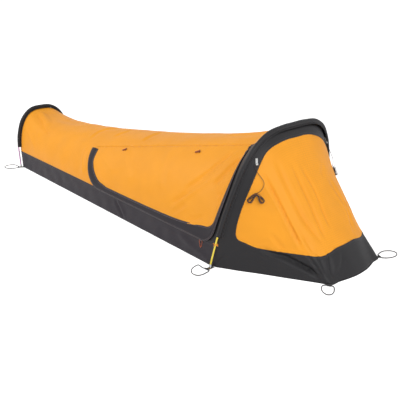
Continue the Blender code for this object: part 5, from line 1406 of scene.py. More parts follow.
class BIVVY_OT_canopy(Operator):
    """Orange roof and sides, the end wall at the foot and the dark strip beside the head hoop."""
    bl_idname = "bivvy.canopy"
    bl_label = "Body canopy"

    def execute(self, context):
        orange = "Ripstop body"
        x = np.linspace(0, J_END_X - 0.001, 90)
        j = ZIP_LINE[:J_POINTS][::-1]
        low = pairs(x, 0)
        strip = strip_top()
        hoop = pairs(LENGTH, np.linspace(strip[-1, 1], float(arc_length(1.0)), 90)[1:])
        back = np.linspace(LENGTH, 0, 180)[1:]
        far = pairs(back, arc_length(back / LENGTH))
        foot = pairs(0, np.linspace(float(arc_length(0.0)), 0, 70)[1:-1])
        loop = np.concatenate([low, j[1:], HINGE_LINE[::-1][1:], strip[1:], hoop, far, foot])
        sheet("canopy", body_skin, [loop], orange, "tent", "orange_cloth", "canopy", relief=canopy_relief,
              seams=[low, far, strip])
        edge = ZIP_LINE[ZIP_BEND:]
        low = pairs(np.linspace(edge[0, 0], LENGTH, 16), 0)
        b = np.linspace(0, strip[-1, 1], 50)[1:-1]
        loop = np.concatenate([low, pairs(LENGTH, b), strip[::-1], edge[::-1][1:-1]])
        sheet("hoop_strip", body_skin, [loop], "Ripstop dark", "tent", "charcoal_cloth",
              "body_hoop_band", seams=[low, strip], step=0.010)
        b = np.linspace(0, float(arc_length(0.0)), 90)
        y, h = section(np.zeros(len(b)), b)
        wall = pairs(y, h)
        seam = np.array([[-SEAM_FOOT, SEAM_Z_FOOT], [SEAM_FOOT, SEAM_Z_FOOT]])
        sheet("end_wall", foot_plane, [wall], orange, "tent", "orange_cloth", "foot_end_panel",
              relief=end_wall_relief, seams=[seam, wall])
        return {"FINISHED"}


def end_wall_relief(p):
    h = folded(p, waves(p, 31, 0.0010, 0.13), END_WALL_FOLDS)
    rim = (FOOT_HEIGHT - p[:, 1]) / 0.04
    return h * ease(rim) * ease((SEAM_FOOT - np.abs(p[:, 0])) / 0.03) * ease((p[:, 1] - SEAM_Z_FOOT) / 0.02)


class BIVVY_OT_porch(Operator):
    """Sloping porch: an orange panel in its dark surround and skirt."""
    bl_idname = "bivvy.porch"
    bl_label = "Porch"

    def execute(self, context):
        sewn = np.concatenate([WINDOW, WINDOW[:1]]) / PORCH_SCALE
        length = np.linspace(PORCH_START, HOOP_LENGTH - PORCH_START, 170)
        top = pairs(length, 0.0006 / ruling(length))
        low = pairs(length[::-1], 1)
        sheet("porch_surround", porch_skin, [np.concatenate([top, low]), WINDOW / PORCH_SCALE],
              "Ripstop dark", "tent", "charcoal_cloth", "porch_surround", relief=porch_relief,
              seams=[sewn], scale=PORCH_SCALE)
        wide = loop_offset(WINDOW, -0.007)
        beyond = lambda p: (~inside(p * PORCH_SCALE, WINDOW)) * 1.0
        sheet("porch_panel", porch_skin, [wide / PORCH_SCALE], "Ripstop porch", "tent", "orange_cloth",
              "porch_canopy", relief=porch_relief, scale=PORCH_SCALE, under=[(sewn, beyond)])
        return {"FINISHED"}


class BIVVY_OT_door(Operator):
    """Zipped side door and the dark storm flap over its zip."""
    bl_idname = "bivvy.door"
    bl_label = "Door and storm flap"

    def execute(self, context):
        loop = np.concatenate([ZIP_LINE, HINGE_LINE[1:-1] + np.array([0, 0.005])])
        beyond = lambda p: (p[:, 1] > np.interp(p[:, 0], *HINGE_LINE[::-1].T)) * 1.0
        sheet("door_panel", body_skin, [loop], "Ripstop body", "door", "orange_cloth", "door_panel",
              relief=door_relief, under=[(HINGE_LINE, beyond)])
        line = covered_zip(FLAP_HEAD_GAP)
        run = run_of(line)
        flap = flap_rows(line)
        rows, uv = [], []
        for t in np.linspace(0, 1, 13):
            k = min(int(4 * t), 3)
            at = blend(flap[k], flap[k + 1], 4 * t - k)
            across = length_of(at - flap[0])
            rise = float(curve(((0, FLAP_EDGE_LIFT + FLAP_THICK), (0.25, FLAP_BELLY), (0.5, FLAP_BELLY),
                                (0.75, 0.6 * FLAP_BELLY), (1, 0.0012)), t))
            points, way = body_skin(at)
            ripple = 0.0007 * np.sin(run / 0.061 + 1.3 * t) * sin(pi * t)
            rows.append(points + way * (rise + ripple)[:, None])
            uv.append(pairs(run, across))
        flap = strip_sheet("storm_flap", rows, uv, "Ripstop flap", "door", "charcoal_cloth", "door_flap", 0.0010)
        outward(flap, lambda c: Vector((0, -1, 0.3)))
        return {"FINISHED"}


def flap_rows(line):
    """Rows of the storm flap across the zip line, from its free outer edge to its sewn inner one."""
    run = run_of(line)
    left = left_of(line)
    half = len(line) // 2
    j_end = float(np.interp(J_END_X, line[:half, 0], run[:half]))
    up = j_end + LENGTH - ZIP_BACK - ZIP_CORNER - J_END_X + 1.57 * ZIP_CORNER
    outer = curve(((0, FLAP_OUT_TOP), (0.35 * j_end, FLAP_OUT_J), (0.9 * j_end, 1.3 * FLAP_OUT_LOW),
                   (j_end, FLAP_OUT_LOW), (up - ZIP_CORNER, FLAP_OUT_LOW), (up + 0.5 * ZIP_CORNER, FLAP_OUT_UP),
                   (run[-1], FLAP_OUT_UP)), run)
    corner_x = LENGTH - ZIP_BACK - FLAP_IN_UP - FLAP_CORNER
    low = ((J_END_X + 0.06, FLAP_IN_LOW), (corner_x - 0.40, FLAP_IN_LOW + 0.002),
           (corner_x - 0.16, 0.64 * FLAP_IN_HEAD), (corner_x, FLAP_IN_HEAD))
    inner = curve(((0, FLAP_IN_TOP), (0.25 * j_end, FLAP_IN_TOP), (0.7 * j_end, FLAP_IN_J), (j_end, 0.84 * FLAP_IN_J),
                   (j_end + 0.06, FLAP_IN_LOW)), run)
    inner = np.where(run < j_end + 0.06, inner, np.where(run < up, curve(low, line[:, 0]), FLAP_IN_UP))
    edge = line + left * inner[:, None]
    a = np.linspace(0, 0.5 * pi, 20)
    turn = pairs(corner_x + FLAP_CORNER * np.sin(a), FLAP_IN_HEAD + FLAP_CORNER * (1 - np.cos(a)))
    x = np.linspace(corner_x - 0.13, corner_x, 14)[:-1]
    path = np.concatenate([pairs(x, curve(low, x)), turn])
    first = int(np.argmax((line[:, 0] > x[0]) & (run > j_end)))
    last = int(np.argmax((line[:, 1] > turn[-1, 1]) & (run > up)))
    at = (run[first:last] - run[first]) / (run[last] - run[first]) * run_of(path)[-1]
    edge[first:last] = points_at(path, at)
    return [line - left * outer[:, None], line - left * (0.45 * outer)[:, None],
            blend(line, edge, 0.15), blend(line, edge, 0.5), edge]


class BIVVY_OT_sleeves(Operator):
    """Dark sleeves sewn along both hoops, with a flat flange on the cloth."""
    bl_idname = "bivvy.sleeves"
    bl_label = "Pole sleeves"

    def execute(self, context):
        for name, u, end in (("head", 1, SLEEVE_END_HEAD), ("foot", 0, SLEEVE_END_FOOT)):
            skin_line, way, b = hoop_points(u, end + SLEEVE_HEM, 0.0)
            _, normal = hoop_plane(u)
            run = b - b[0]
            shape = [(-0.015, 0.0013), (-0.011, 0.0016), (-0.0085, 0.0026)]
            shape += [(SLEEVE_R * sin(a), SLEEVE_R + 0.0003 - SLEEVE_R * cos(a))
                      for a in np.radians(np.linspace(-62, -298, 19))]
            if u:
                shape += [(0.0085, 0.0026), (0.011, 0.0016), (0.016, 0.0013)]
            else:
                shape += [(0.0075, 0.0020), (0.004, 0.0005)]
            shape = np.array(shape) * np.array([1 if u else -1, 1])
            around = run_of(shape)
            rows, uv = [], []
            for k, (x, z) in enumerate(shape):
                full = ease((z - 0.004) / 0.01)
                slack = full * (0.00055 * np.sin(run / 0.017 + 2.1 * around[k] / 0.02)
                                + 0.00045 * np.sin(run / 0.031 - 60 * around[k]))
                rows.append(skin_line + normal * x + way * (z + slack)[:, None])
                uv.append(pairs(run, around[k]))
            obj = strip_sheet(f"{name}_sleeve", rows, uv, "Ripstop dark", "tent",
                              "charcoal_cloth", f"{name}_sleeve", 0.0005)
            middle = Vector((float(skin_line[:, 0].mean()), 0, 0.2))
            outward(obj, lambda c: Vector((0, c.y - middle.y, c.z - middle.z)))
        return {"FINISHED"}


class BIVVY_OT_poles(Operator):
    """Anodised pole sections of both hoops, with their tips."""
    bl_idname = "bivvy.poles"
    bl_label = "Poles"

    def execute(self, context):
        radius = hardware().pole_radius
        tip = turned("pole_tip", ((0.0003, 0.0021), (0.0010, 0.0026), (0.0048, 0.0026), (0.0050, 0.0050),
                                  (0.0060, 0.0056), (0.0128, 0.0056), (0.0140, 0.0050), (0.0205, 0.0046),
                                  (0.0217, 0.0042)), 28)
        for name, u, span, end, count, look, slot in (
                ("head", 1, TIP_HEAD, SLEEVE_END_HEAD, 4, "Gold anodised tube", "gold_alloy"),
                ("foot", 0, TIP_FOOT, SLEEVE_END_FOOT, 3, "Mauve anodised tube", "mauve_alloy")):
            path = pole_path(u, span, end)
            cuts = np.linspace(0, len(path) - 1, count + 1).round().astype(int)
            for k in range(count):
                part = path[cuts[k]:cuts[k + 1] + 1].copy()
                if k:
                    part[0] += unit(part[1] - part[0]) * 0.0004
                tube = as_mesh(cord_curve(f"{name}_pole_{k + 1}", part, radius, look))
                place(tube, "tent", slot, f"{name}_pole_{k + 1}")
            _, normal = hoop_plane(u)
            for side, first, second in (("near", path[0], path[3]), ("far", path[-1], path[-4])):
                z = unit(second - first)
                x = unit(normal - z * np.dot(normal, z))
                foot = first - z * TIP_LENGTH
                new = copied(tip, f"{name}_tip_{side}", axes_matrix(foot, x, np.cross(z, x), z))
                place(new, "tent", "tip_steel", f"{name}_tip_{side}", finish="Turned steel")
        drop(tip)
        return {"FINISHED"}


class BIVVY_OT_clips(Operator):
    """Moulded clips that hold the head pole's legs to the seam."""
    bl_idname = "bivvy.clips"
    bl_label = "Pole clips"

    def execute(self, context):
        clip = ring_piece("pole_clip", 0.0074, 0.010, 0.0050, 24)
        bpy.ops.object.mode_set(mode="EDIT")
        pick_faces(clip, lambda c, n: n.x > 0.86 and c.x > 0.006)
        extrude(0.010, 0, 0)
        bpy.ops.transform.resize(value=(0.02, 1.0, 1.0))
        for sign in (-1, 1):
            pick_faces(clip, lambda c, n: n.y * sign > 0.9 and abs(c.y) > 0.006 and c.x < 0.006)
            extrude(0, 0.007 * sign, 0)
            bpy.ops.transform.resize(value=(1.6, 0.2, 0.62))
        close_piece(clip)
        finish_edges(clip, 0.0007)
        path = pole_path(1, TIP_HEAD, SLEEVE_END_HEAD)
        _, normal = hoop_plane(1)
        for side, a, b, sign in (("near", path[2], path[7], -1), ("far", path[-3], path[-8], 1)):
            z = unit(b - a)
            centre = a + z * ((CLIP_HEIGHT - a[2]) / z[2])
            x = unit(np.cross(normal, z))
            if x[1] * sign > 0:
                x = -x
            new = copied(clip, f"clip_{side}", axes_matrix(centre, x, np.cross(z, x), z))
            place(new, "tent", "orange_acetal", f"pole_clip_{side}", finish="Orange acetal")
        drop(clip)
        return {"FINISHED"}


def eye_strap(name, axes, root, low, thick, radius, bore, width, finish):
    """Strap with a rolled eye at its end, cut from a side outline and given its width."""
    base, ax, ay, az = (np.asarray(v, float) for v in axes)
    centre = np.array([0.0, radius + low * 0.05])
    first = asin(max((low - centre[1]) / radius, -0.98))
    second = asin((low + thick - centre[1]) / radius)
    a = np.linspace(-pi - first, pi - second, 30)
    ring = centre + radius * pairs(np.cos(a), np.sin(a))
    straight = np.linspace(-root, ring[0, 0], 8)[:-1]
    outline = np.concatenate([pairs(straight, low), ring, pairs(straight[::-1], low + thick)])
    a = np.linspace(0, 2 * pi, 25)[:-1]
    hole = centre + bore * pairs(np.cos(a), np.sin(a))
    verts, tris = filled([outline, hole])
    side = base + verts[:, :1] * ax + verts[:, 1:] * ay
    n = len(side)
    faces = [tuple(t) for t in tris] + [(c + n, b + n, a + n) for a, b, c in tris]
    rim = dict.fromkeys(edge for a, b, c in tris for edge in ((a, b), (b, c), (c, a)))
    faces += [(b, a, a + n, b + n) for a, b in rim if (b, a) not in rim]
    points = np.concatenate([side + az * 0.5 * width, side - az * 0.5 * width])
    weave = np.concatenate([pairs(verts.sum(axis=1), edge) for edge in (0, width)])
    obj = mesh_piece(name, points, faces, finish, {"weave": weave})
    outward(obj)
    finish_edges(obj, 0.0003, 1, 50, 40)
    return obj


def peg_places():
    """For each peg point: name, wall's root and direction, outward direction, eye, pole tip and roll."""
    x, y, dx, dy = (float(c) for c in ground_line(np.float64(ground_lengths()[0])))
    places = []
    for side, sign in (("near", -1), ("far", 1)):
        out = np.array([-sin(FOOT_PEG_TURN), sign * cos(FOOT_PEG_TURN), 0])
        tip = np.array([FOOT_X, sign * TIP_FOOT, 0])
        wall = unit(np.array([-(BASE_HEAD - BASE_FOOT), sign * LENGTH, 0]))
        places.append((f"foot_{side}", np.array([FOOT_X, sign * BASE_FOOT, 0]), wall, out, tip + out * TAB_REACH,
                       tip, LOOP_ROLL))
        out = np.array([0, sign * 1.0, 0])
        tip = np.array([HEAD_X, sign * TIP_HEAD, 0])
        places.append((f"head_{side}", np.array([HEAD_X, sign * BASE_HEAD, 0]), out, out, tip + out * TAB_REACH,
                       tip, HEAD_LOOP_ROLL))
        wall = np.array([dx, -sign * dy, 0])
        out = np.array([sin(PORCH_PEG_TURN), sign * cos(PORCH_PEG_TURN), 0])
        root = np.array([x, -sign * y, 0])
        places.append((f"porch_{side}", root, wall, out, root + out * PORCH_TAB_REACH, None, LOOP_ROLL))
    return places


class BIVVY_OT_peg_points(Operator):
    """Webbing tabs at the corners, their eyelets and the cord loops for the pegs."""
    bl_idname = "bivvy.peg_points"
    bl_label = "Peg points"

    def execute(self, context):
        eyelet = ring_piece("eyelet", 0.0070, 0.0044, 0.0030, 28)
        finish_edges(eyelet, 0.0008, 3)
        for name, root, wall, out, eye, tip, roll in peg_places():
            across = np.cross(out, UP)
            tab = eye_strap(f"peg_tab_{name}", (eye, out, UP, across), 0.03, 0.0012, TAB_THICK, TAB_EYE_R,
                            TAB_EYE_BORE, hardware().tab_width, "Dark webbing")
            for v in tab.data.vertices:
                p = np.array(v.co)
                if np.dot(p - eye, out) < -0.025:
                    t = np.dot(root + wall * 0.0003 - p, wall) / np.dot(out, wall)
                    v.co = Vector([float(c) for c in p + out * t])
            place(tab, "tent", "dark_webbing", f"peg_tab_{name}")
            if tip is not None:
                new = copied(eyelet, f"eyelet_{name}", Matrix.Translation((float(tip[0]), float(tip[1]), 0.0022)))
                place(new, "tent", "brass_grommet", f"grommet_{name}", finish="Pressed brass")
            peg_loop(name, eye + UP * EYE_HEIGHT, out, across, roll, -1 if "near" in name else 1)
        drop(eyelet)
        return {"FINISHED"}


def peg_loop(name, eye, out, across, roll, side):
    """Cord loop through the tab's eye, lying out on the ground with one side raised."""
    half = PEG_LOOP_HALF
    far = PEG_LOOP_LENGTH
    width = PEG_LOOP_START
    radius = hardware().peg_cord_radius
    shape = [(0, 0), (0, width), (0.0012, width + 0.005), (0.0055, width + 0.010), (0.013, width + 0.0135),
             (0.030, half), (0.055, half), (0.83 * far, 0.77 * half), (0.96 * far, 0.37 * half), (far, 0)]
    shape += [(o, -a) for o, a in shape[-2:0:-1]]
    rest = radius + CORD_CLEAR - EYE_HEIGHT
    points = []
    for o, a in shape:
        w = float(ease(o / 0.030))
        z = blend(0, rest + half * sin(roll), w) - side * a * sin(roll * w)
        points.append(eye + out * o + across * a * cos(roll * w) + UP * z)
    path = route(points, 0.004, closed=True)
    obj = cord_curve(f"peg_loop_{name}", path, radius, "Grey braided cord")
    place(obj, f"loop_{name}", "grey_cord", f"peg_loop_{name}")


def skin_frame(skin, a, b):
    """Point, true outward normal and the tangent towards growing a."""
    tiny = 0.004
    p, d = skin(np.array([a, b], float))
    pa = skin(np.array([a + tiny, b]))[0] - skin(np.array([a - tiny, b]))[0]
    pb = skin(np.array([a, b + tiny]))[0] - skin(np.array([a, b - tiny]))[0]
    n = unit(np.cross(pa, pb))
    return p, n if np.dot(n, d) > 0 else -n, unit(pa)


def hanging_frame(length, v):
    """Point, normal and way down on the porch, and the place at steps down, across and out from it."""
    p, n, _ = skin_frame(porch_skin, length, v)
    down = unit(-UP + n * n[2])
    across = np.cross(down, n)
    return p, n, down, lambda d, a, h: p + down * d + across * a + n * h


class BIVVY_OT_guy_lines(Operator):
    """White tabs on the porch's band, each with its tied guy line."""
    bl_idname = "bivvy.guy_lines"
    bl_label = "Guy lines"

    def execute(self, context):
        radius = hardware().guy_cord_radius
        v = GUY_BAND / float(ruling(np.array([GUY_L]))[0])
        p, n, down, at = hanging_frame(GUY_L, v)
        eye_foot = p + n * GUY_LIFT + down * 0.5 * GUY_TAB_LENGTH
        half = 0.5 * hardware().guy_tab_width
        _, n2, down2, at2 = hanging_frame(HANK_L, HANK_V)
        hank = hank_points(at2, radius + 0.0004)
        start = hank[0] + unit(hank[0] - hank[1]) * 0.0004
        d0 = 0.5 * GUY_TAB_LENGTH
        e = GUY_LIFT + GUY_EYE_R
        line = [at(d0, -half - 0.004, e), at(d0, -half, e), at(d0, 0, e), at(d0, half, e),
                at(d0 + 0.003, half + 0.005, e), at(d0 + 0.010, half + 0.005, e), at(d0 + 0.025, 0.004, e)]
        back = unit(hank[0] - hank[1])
        entry = [start + back * 0.030 - down2 * 0.028 + n2 * 0.002, start + back * 0.012 - down2 * 0.003,
                 start + back * 0.0005]
        line = route(line + entry, 0.004)
        for side in ("near", "far"):
            flip = mirror if side == "far" else np.asarray
            b, ax, ay = flip(eye_foot), flip(down), flip(n)
            tab = eye_strap(f"guy_tab_{side}", (b, ax, ay, np.cross(ax, ay)), GUY_TAB_LENGTH - GUY_EYE_R, 0.0,
                            GUY_TAB_THICK, GUY_EYE_R, GUY_EYE_BORE, 2 * half, "White webbing")
            place(tab, "tent", "white_webbing", f"guy_tab_{side}")
            cord = cord_curve(f"guy_line_{side}", flip(line), radius, "Guy cord")
            place(cord, f"guy_{side}", "grey_cord", f"guy_line_{side}")
            coil = cord_curve(f"guy_hank_{side}", flip(hank), radius, "Guy cord")
            place(coil, f"guy_{side}", "grey_cord", f"guy_hank_{side}")
            tuple(map(float, flip(line)[0]))
            tuple(map(float, flip(line)[-1]))
        return {"FINISHED"}


def hank_points(at, lift):
    """Long flat loops of the tied line, folded over so that both ends hang down."""
    points = []
    straight = HANK_HALF - HANK_END
    half = 2 * straight + pi * HANK_END
    for k in range(HANK_LOOPS * 24 + 1):
        turn = k / 24
        back, run = divmod(2 * half * (turn % 1), half)
        bend = min(max((run - straight) / HANK_END, 0), pi)
        s = (1 - 2 * back) * (min(run, half - run, straight) + HANK_END * sin(bend))
        waist = HANK_WAIST * (0.55 + 0.45 * cos(2.5 * turn))
        wide = blend(waist, HANK_END, float(ease(abs(s) / straight))**2)
        e = (1 - 2 * back) * cos(bend) * wide + 0.0035 * sin(2.5 * turn + 1)
        turn_over = radians(62) * tanh(s / 0.02)
        mid_d = HANK_END + 0.020 * (sqrt((s / 0.020) ** 2 + 1) - 1) * 0.88
        mid_a = 0.5 * s - 0.004 if s < 0 else 0.62 * s - 0.004
        points.append(at(mid_d - e * cos(turn_over), mid_a + e * sin(turn_over), lift + HANK_PITCH * turn))
    return np.array(points)


class BIVVY_OT_zip(Operator):
    """Coil zip: two tapes with their teeth, the slider and its cord pull."""
    bl_idname = "bivvy.zip"
    bl_label = "Zip"

    def execute(self, context):
        line = covered_zip(FLAP_TOP_GAP)
        tooth = self.tooth()
        for name, node, body, sign in (("door_tape", "door_zip_chain", "door", 1),
                                       ("body_tape", "body_zip_chain", "tent", -1)):
            rows, uv = [], []
            run = run_of(line)
            for w in np.linspace(0.0008, CHAIN_WIDTH, 4):
                points, way = body_skin(offset(line, sign * w))
                rows.append(points + way * (CHAIN_LIFT + 0.5 * CHAIN_THICK))
                uv.append(pairs(run, w))
            tape = strip_sheet(name, rows, uv, "Zip tape", body, "zip_coil", node, 0.0006)
            outward(tape, lambda c: Vector((0, -1, 0.3)))
            teeth = self.teeth(f"{name}_teeth", tooth, line, sign)
            place(teeth, body, "zip_coil", node)
        drop(tooth)
        self.slider()
        return {"FINISHED"}

    def tooth(self):
        """One turn of the coil: a small rounded block."""
        start_piece()
        bpy.ops.mesh.primitive_cube_add(size=1)
        obj = bpy.context.object
        bpy.ops.object.mode_set(mode="EDIT")
        bpy.ops.mesh.select_all(action="SELECT")
        bpy.ops.transform.resize(value=(0.0017, 0.0030, 0.0014))
        pick_faces(obj, lambda c, n: n.y < -0.9)
        bpy.ops.transform.resize(value=(0.6, 1, 0.7))
        bpy.ops.object.mode_set(mode="OBJECT")
        finish_edges(obj, 0.0003, 1)
        return obj

    def teeth(self, name, tooth, line, sign):
        """The block repeated along one side of the zip."""
        pitch = hardware().tooth_pitch
        at = np.arange(0.5 * pitch + (0.5 * pitch if sign < 0 else 0), run_of(line)[-1], pitch)
        centre = points_at(line, at)
        tangent = unit(np.gradient(centre, axis=0))
        left = left_of(centre) * sign
        base, way = body_skin(centre + left * 0.0019)
        ahead, _ = body_skin(centre + left * 0.0019 + tangent * 0.001)
        x = unit(ahead - base)
        y = np.cross(way, x)
        outside, _ = body_skin(centre + left * 0.004)
        y = np.where(((outside - base) * y).sum(-1, keepdims=True) < 0, -y, y)
        block = np.array([v.co for v in tooth.data.vertices])
        blocks = sum(block[None, :, k, None] * axis[:, None] for k, axis in enumerate((x, y, way)))
        points = (base + way * (CHAIN_LIFT + CHAIN_THICK))[:, None] + blocks
        faces = [tuple(i + k * len(block) for i in f.vertices) for k in range(len(at)) for f in tooth.data.polygons]
        obj = mesh_piece(name, points.reshape(-1, 3), faces, "Nylon coil")
        outward(obj)
        return obj

    def slider(self):
        """Slider body over both chains, with an eye below it, and the pull through the eye."""
        p, a, b = body_skin(pairs([SLIDER_X, J_END_X, LENGTH], 0))[0]
        _, n, _ = skin_frame(body_skin, 0.5 * (J_END_X + SLIDER_X), 0.0)
        along = unit(b - a)
        out = unit(n - along * np.dot(n, along))
        up = np.cross(out, along)
        up = up * np.sign(up[2])
        start_piece()
        bpy.ops.mesh.primitive_cube_add(size=1, location=(0, 0, 0.0034))
        obj = bpy.context.object
        obj.name = "slider"
        bpy.ops.object.mode_set(mode="EDIT")
        bpy.ops.mesh.select_all(action="SELECT")
        bpy.ops.transform.resize(value=(SLIDER_LENGTH, 0.0176, 0.0014))
        bpy.ops.mesh.subdivide(number_cuts=2)
        pick_faces(obj, lambda c, n_: n_.z < -0.9 and abs(c.y) > 0.004)
        extrude(0, 0, -0.0018)
        pick_faces(obj, lambda c, n_: n_.z > 0.9 and abs(c.y) < 0.004)
        bpy.ops.mesh.inset(thickness=0.0010)
        extrude(0, 0, 0.0012)
        bpy.ops.object.mode_set(mode="OBJECT")
        settle(obj)
        finish_edges(obj, 0.0004)
        obj.data.transform(axes_matrix(p, along, up, out))
        if np.dot(np.cross(along, up), out) < 0:
            obj.data.flip_normals()
        place(obj, "slider", "zip_slider_zinc", "zip_slider", finish="Lacquered zinc")
        eye = (-0.0080 - 0.0012 - SLIDER_EYE_R + 0.0006, 0.0009 + SLIDER_EYE_R)
        ring = ring_piece("slider_eye", SLIDER_EYE_R, SLIDER_LENGTH * 0.6, 0.0014, 16)
        finish_edges(ring, 0.0003)
        centre = p + up * eye[0] + out * eye[1]
        ring.data.transform(axes_matrix(centre, up, np.cross(along, up), along))
        place(ring, "slider", "zip_slider_zinc", "zip_slider", finish="Lacquered zinc")
        half = 0.5 * SLIDER_LENGTH
        radius = PULL_RADIUS
        shape = [(0, 0), (0, half), (0.0006, half + 0.0014), (0.0026, half + 0.0024), (0.010, half + 0.0020),
                 (0.020, 0.6 * PULL_HALF), (0.9 * PULL_LENGTH, 0.36 * PULL_HALF), (PULL_LENGTH, 0)]
        shape += [(o, -w) for o, w in shape[-2:0:-1]]
        rest = radius + CORD_CLEAR - eye[1]
        points = [centre - up * o + along * w + out * (rest * float(ease(o / 0.012)) + 0.032 * o) for o, w in shape]
        path = route(points, 0.003, closed=True)
        pull = cord_curve("zip_pull", path, radius, "Pull cord")
        place(pull, "pull_cord", "orange_pull_cord", "zip_pull")


class BIVVY_OT_toggles(Operator):
    """Stained toggles on the door, each on its elastic loop, for tying it up."""
    bl_idname = "bivvy.toggles"
    bl_label = "Door toggles"

    def execute(self, context):
        bar = turned("toggle", ((-0.0044, 0.0020), (-0.0040, 0.0029), (-0.0028, 0.0037), (-0.0012, 0.0040),
                                (0.0040, 0.0040), (0.0130, 0.0038), (0.0215, 0.0039), (0.0238, 0.0037),
                                (0.0252, 0.0029), (0.0256, 0.0018)), 24)
        for k, (x, low_by) in enumerate(TOGGLES):
            p, n, px = skin_frame(body_skin, x, hinge_b(x) - low_by)
            level = unit(px - n * np.dot(px, n))
            rise = np.cross(n, level)
            rise = rise * np.sign(rise[2])
            way = -level * cos(TOGGLE_SLOPE) - rise * sin(TOGGLE_SLOPE)
            across = np.cross(n, way)
            low = 0.0009 + 0.0003
            shape = [(0, 1), (0.55, 1), (0.92, 0.75), (1.0, 0.35), (0.8, 0.0), (0.3, 0.0)]
            shape += [(-a, h) for a, h in shape[::-1][:-1]]
            points = [p + across * a * LOOP_HALF + n * (low + h * LOOP_RISE) for a, h in shape]
            loop = as_mesh(cord_curve(f"toggle_loop_{k + 1}", route(points, 0.002, closed=True)[:-1], 0.0009,
                                      "Elastic cord", closed=True))
            place(loop, "door", "grey_cord", f"toggle_loop_{k + 1}")
            eye = p + n * (low + LOOP_RISE)
            tilt = asin((LOOP_RISE + low - 0.004 - 0.0003) / TOGGLE_LENGTH)
            lie = way * cos(tilt) - n * sin(tilt)
            up = np.cross(lie, across)
            new = copied(bar, f"toggle_bar_{k + 1}", axes_matrix(eye, across, -up, lie))
            place(new, ("toggle_foot_side", "toggle_head_side")[k], "brown_toggle", f"toggle_{k + 1}",
                  finish="Stained toggle")
        drop(bar)
        return {"FINISHED"}


class BIVVY_OT_inner_cords(Operator):
    """Elastic cords inside the poles, which stay as the frame has them with a braided finish."""
    bl_idname = "bivvy.inner_cords"
    bl_label = "Shock cords"

    def execute(self, context):
        for name in ("head_shock_cord", "foot_shock_cord"):
            mesh = bpy.data.objects[name].data
            mesh.materials.clear()
            mesh.materials.append(finish_of("Elastic cord"))
        return {"FINISHED"}


def seen_directly(tree):
    """1 for what the camera, a reflection or a look through clear material meets, else 0."""
    path = add_node(tree, "LightPath")
    seen = add_node(tree, "Math", {0: path["Is Camera Ray"], 1: path["Is Glossy Ray"]}, operation="MAXIMUM")[0]
    return add_node(tree, "Math", {0: seen, 1: path["Is Transmission Ray"]}, operation="MAXIMUM")[0]


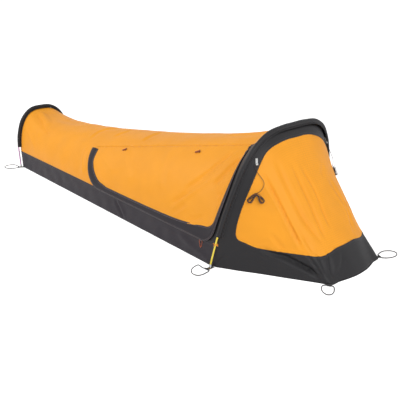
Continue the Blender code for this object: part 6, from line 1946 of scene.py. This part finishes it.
class BIVVY_OT_stage(Operator):
    """Plain pale floor, soft studio light and the camera."""
    bl_idname = "bivvy.stage"
    bl_label = "Studio stage"

    def execute(self, context):
        settings = context.scene.bivvy_stage
        start_piece()
        bpy.ops.mesh.primitive_plane_add(size=60, location=(0, 0, -0.0004))
        floor = bpy.context.object
        floor.name = "studio_floor"
        # Matte painted floor, its colour lifted to white where the camera or a reflection sees it
        material, tree, shader = shader_of("Studio floor", settings.floor_colour, 0.9)
        glow = add_node(tree, "Math", {0: seen_directly(tree), 1: 0.65}, operation="MULTIPLY")[0]
        shader.inputs["Emission Color"].default_value = (1, 1, 1, 1)
        tree.links.new(glow, shader.inputs["Emission Strength"])
        floor.data.materials.append(material)
        lamps = []
        for name, power, size, at, aim in (
                ("side_light", settings.side_power, (2.6, 2.0), (-1.9, -2.5, 2.9), (-0.1, 0.0, 0.2)),
                ("front_light", settings.front_power, (2.2, 2.0), (3.2, -1.1, 2.2), (0.9, 0.0, 0.25))):
            lamp = bpy.data.lights.new(name, "AREA")
            lamp.energy = power
            lamp.shape = "RECTANGLE"
            lamp.size, lamp.size_y = size
            lamps.append(linked(name, lamp))
            lamps[-1].location = at
            lamps[-1].rotation_euler = (Vector(aim) - Vector(at)).to_track_quat("-Z", "Y").to_euler()
        world = bpy.data.worlds.new("studio")
        context.scene.world = world
        world.use_nodes = True
        tree = world.node_tree
        ground = tree.nodes["Background"]
        level = add_node(tree, "MapRange", {"Value": seen_directly(tree), "To Min": settings.sky_strength})[0]
        ground.inputs["Color"].default_value = (1, 1, 1, 1)
        tree.links.new(level, ground.inputs["Strength"])
        az, el = settings.camera_turn, settings.camera_rise
        back = Vector((sin(az) * cos(el), -cos(az) * cos(el), sin(el)))
        target = Vector((0.2674, 0.0, 0.0910))
        lens = bpy.data.cameras.new("camera")
        lens.lens = settings.camera_lens
        lens.sensor_width = 36
        eye = linked("camera", lens)
        eye.location = target + back * settings.camera_distance
        eye.rotation_euler = (-back).to_track_quat("-Z", "Y").to_euler()
        context.scene.camera = eye
        context.scene.view_settings.view_transform = "Standard"
        return {"FINISHED"}


OPERATORS = (BIVVY_OT_skirts, BIVVY_OT_canopy, BIVVY_OT_porch, BIVVY_OT_door, BIVVY_OT_sleeves, BIVVY_OT_poles,
             BIVVY_OT_clips, BIVVY_OT_peg_points, BIVVY_OT_guy_lines, BIVVY_OT_zip, BIVVY_OT_toggles,
             BIVVY_OT_inner_cords, BIVVY_OT_stage)


class BIVVY_PT_panel(Panel):
    """Lists the tent's pieces, their settings and the stage."""
    bl_idname = "BIVVY_PT_panel"
    bl_label = "Hooped Bivvy Tent"
    bl_space_type = "VIEW_3D"
    bl_region_type = "UI"
    bl_category = "Bivvy Tent"

    def draw(self, context):
        layout = self.layout
        for title, group in (("Cloth", context.scene.bivvy_cloth), ("Hardware", context.scene.bivvy_hardware),
                             ("Stage", context.scene.bivvy_stage)):
            box = layout.box()
            box.label(text=title)
            for key in group.__annotations__:
                box.prop(group, key)
        for operator in OPERATORS:
            layout.operator(operator.bl_idname)


CLASSES = (BivvyCloth, BivvyHardware, BivvyStage, *OPERATORS, BIVVY_PT_panel)


def register():
    for cls in CLASSES:
        bpy.utils.register_class(cls)
    bpy.types.Scene.bivvy_cloth = PointerProperty(type=BivvyCloth)
    bpy.types.Scene.bivvy_hardware = PointerProperty(type=BivvyHardware)
    bpy.types.Scene.bivvy_stage = PointerProperty(type=BivvyStage)


def unregister():
    del bpy.types.Scene.bivvy_stage
    del bpy.types.Scene.bivvy_hardware
    del bpy.types.Scene.bivvy_cloth
    for cls in reversed(CLASSES):
        bpy.utils.unregister_class(cls)


def main():
    register()
    for operator in OPERATORS:
        group, name = operator.bl_idname.split(".")
        getattr(getattr(bpy.ops, group), name)()
    bpy.context.view_layer.update()


if __name__ == "__main__":
    main()
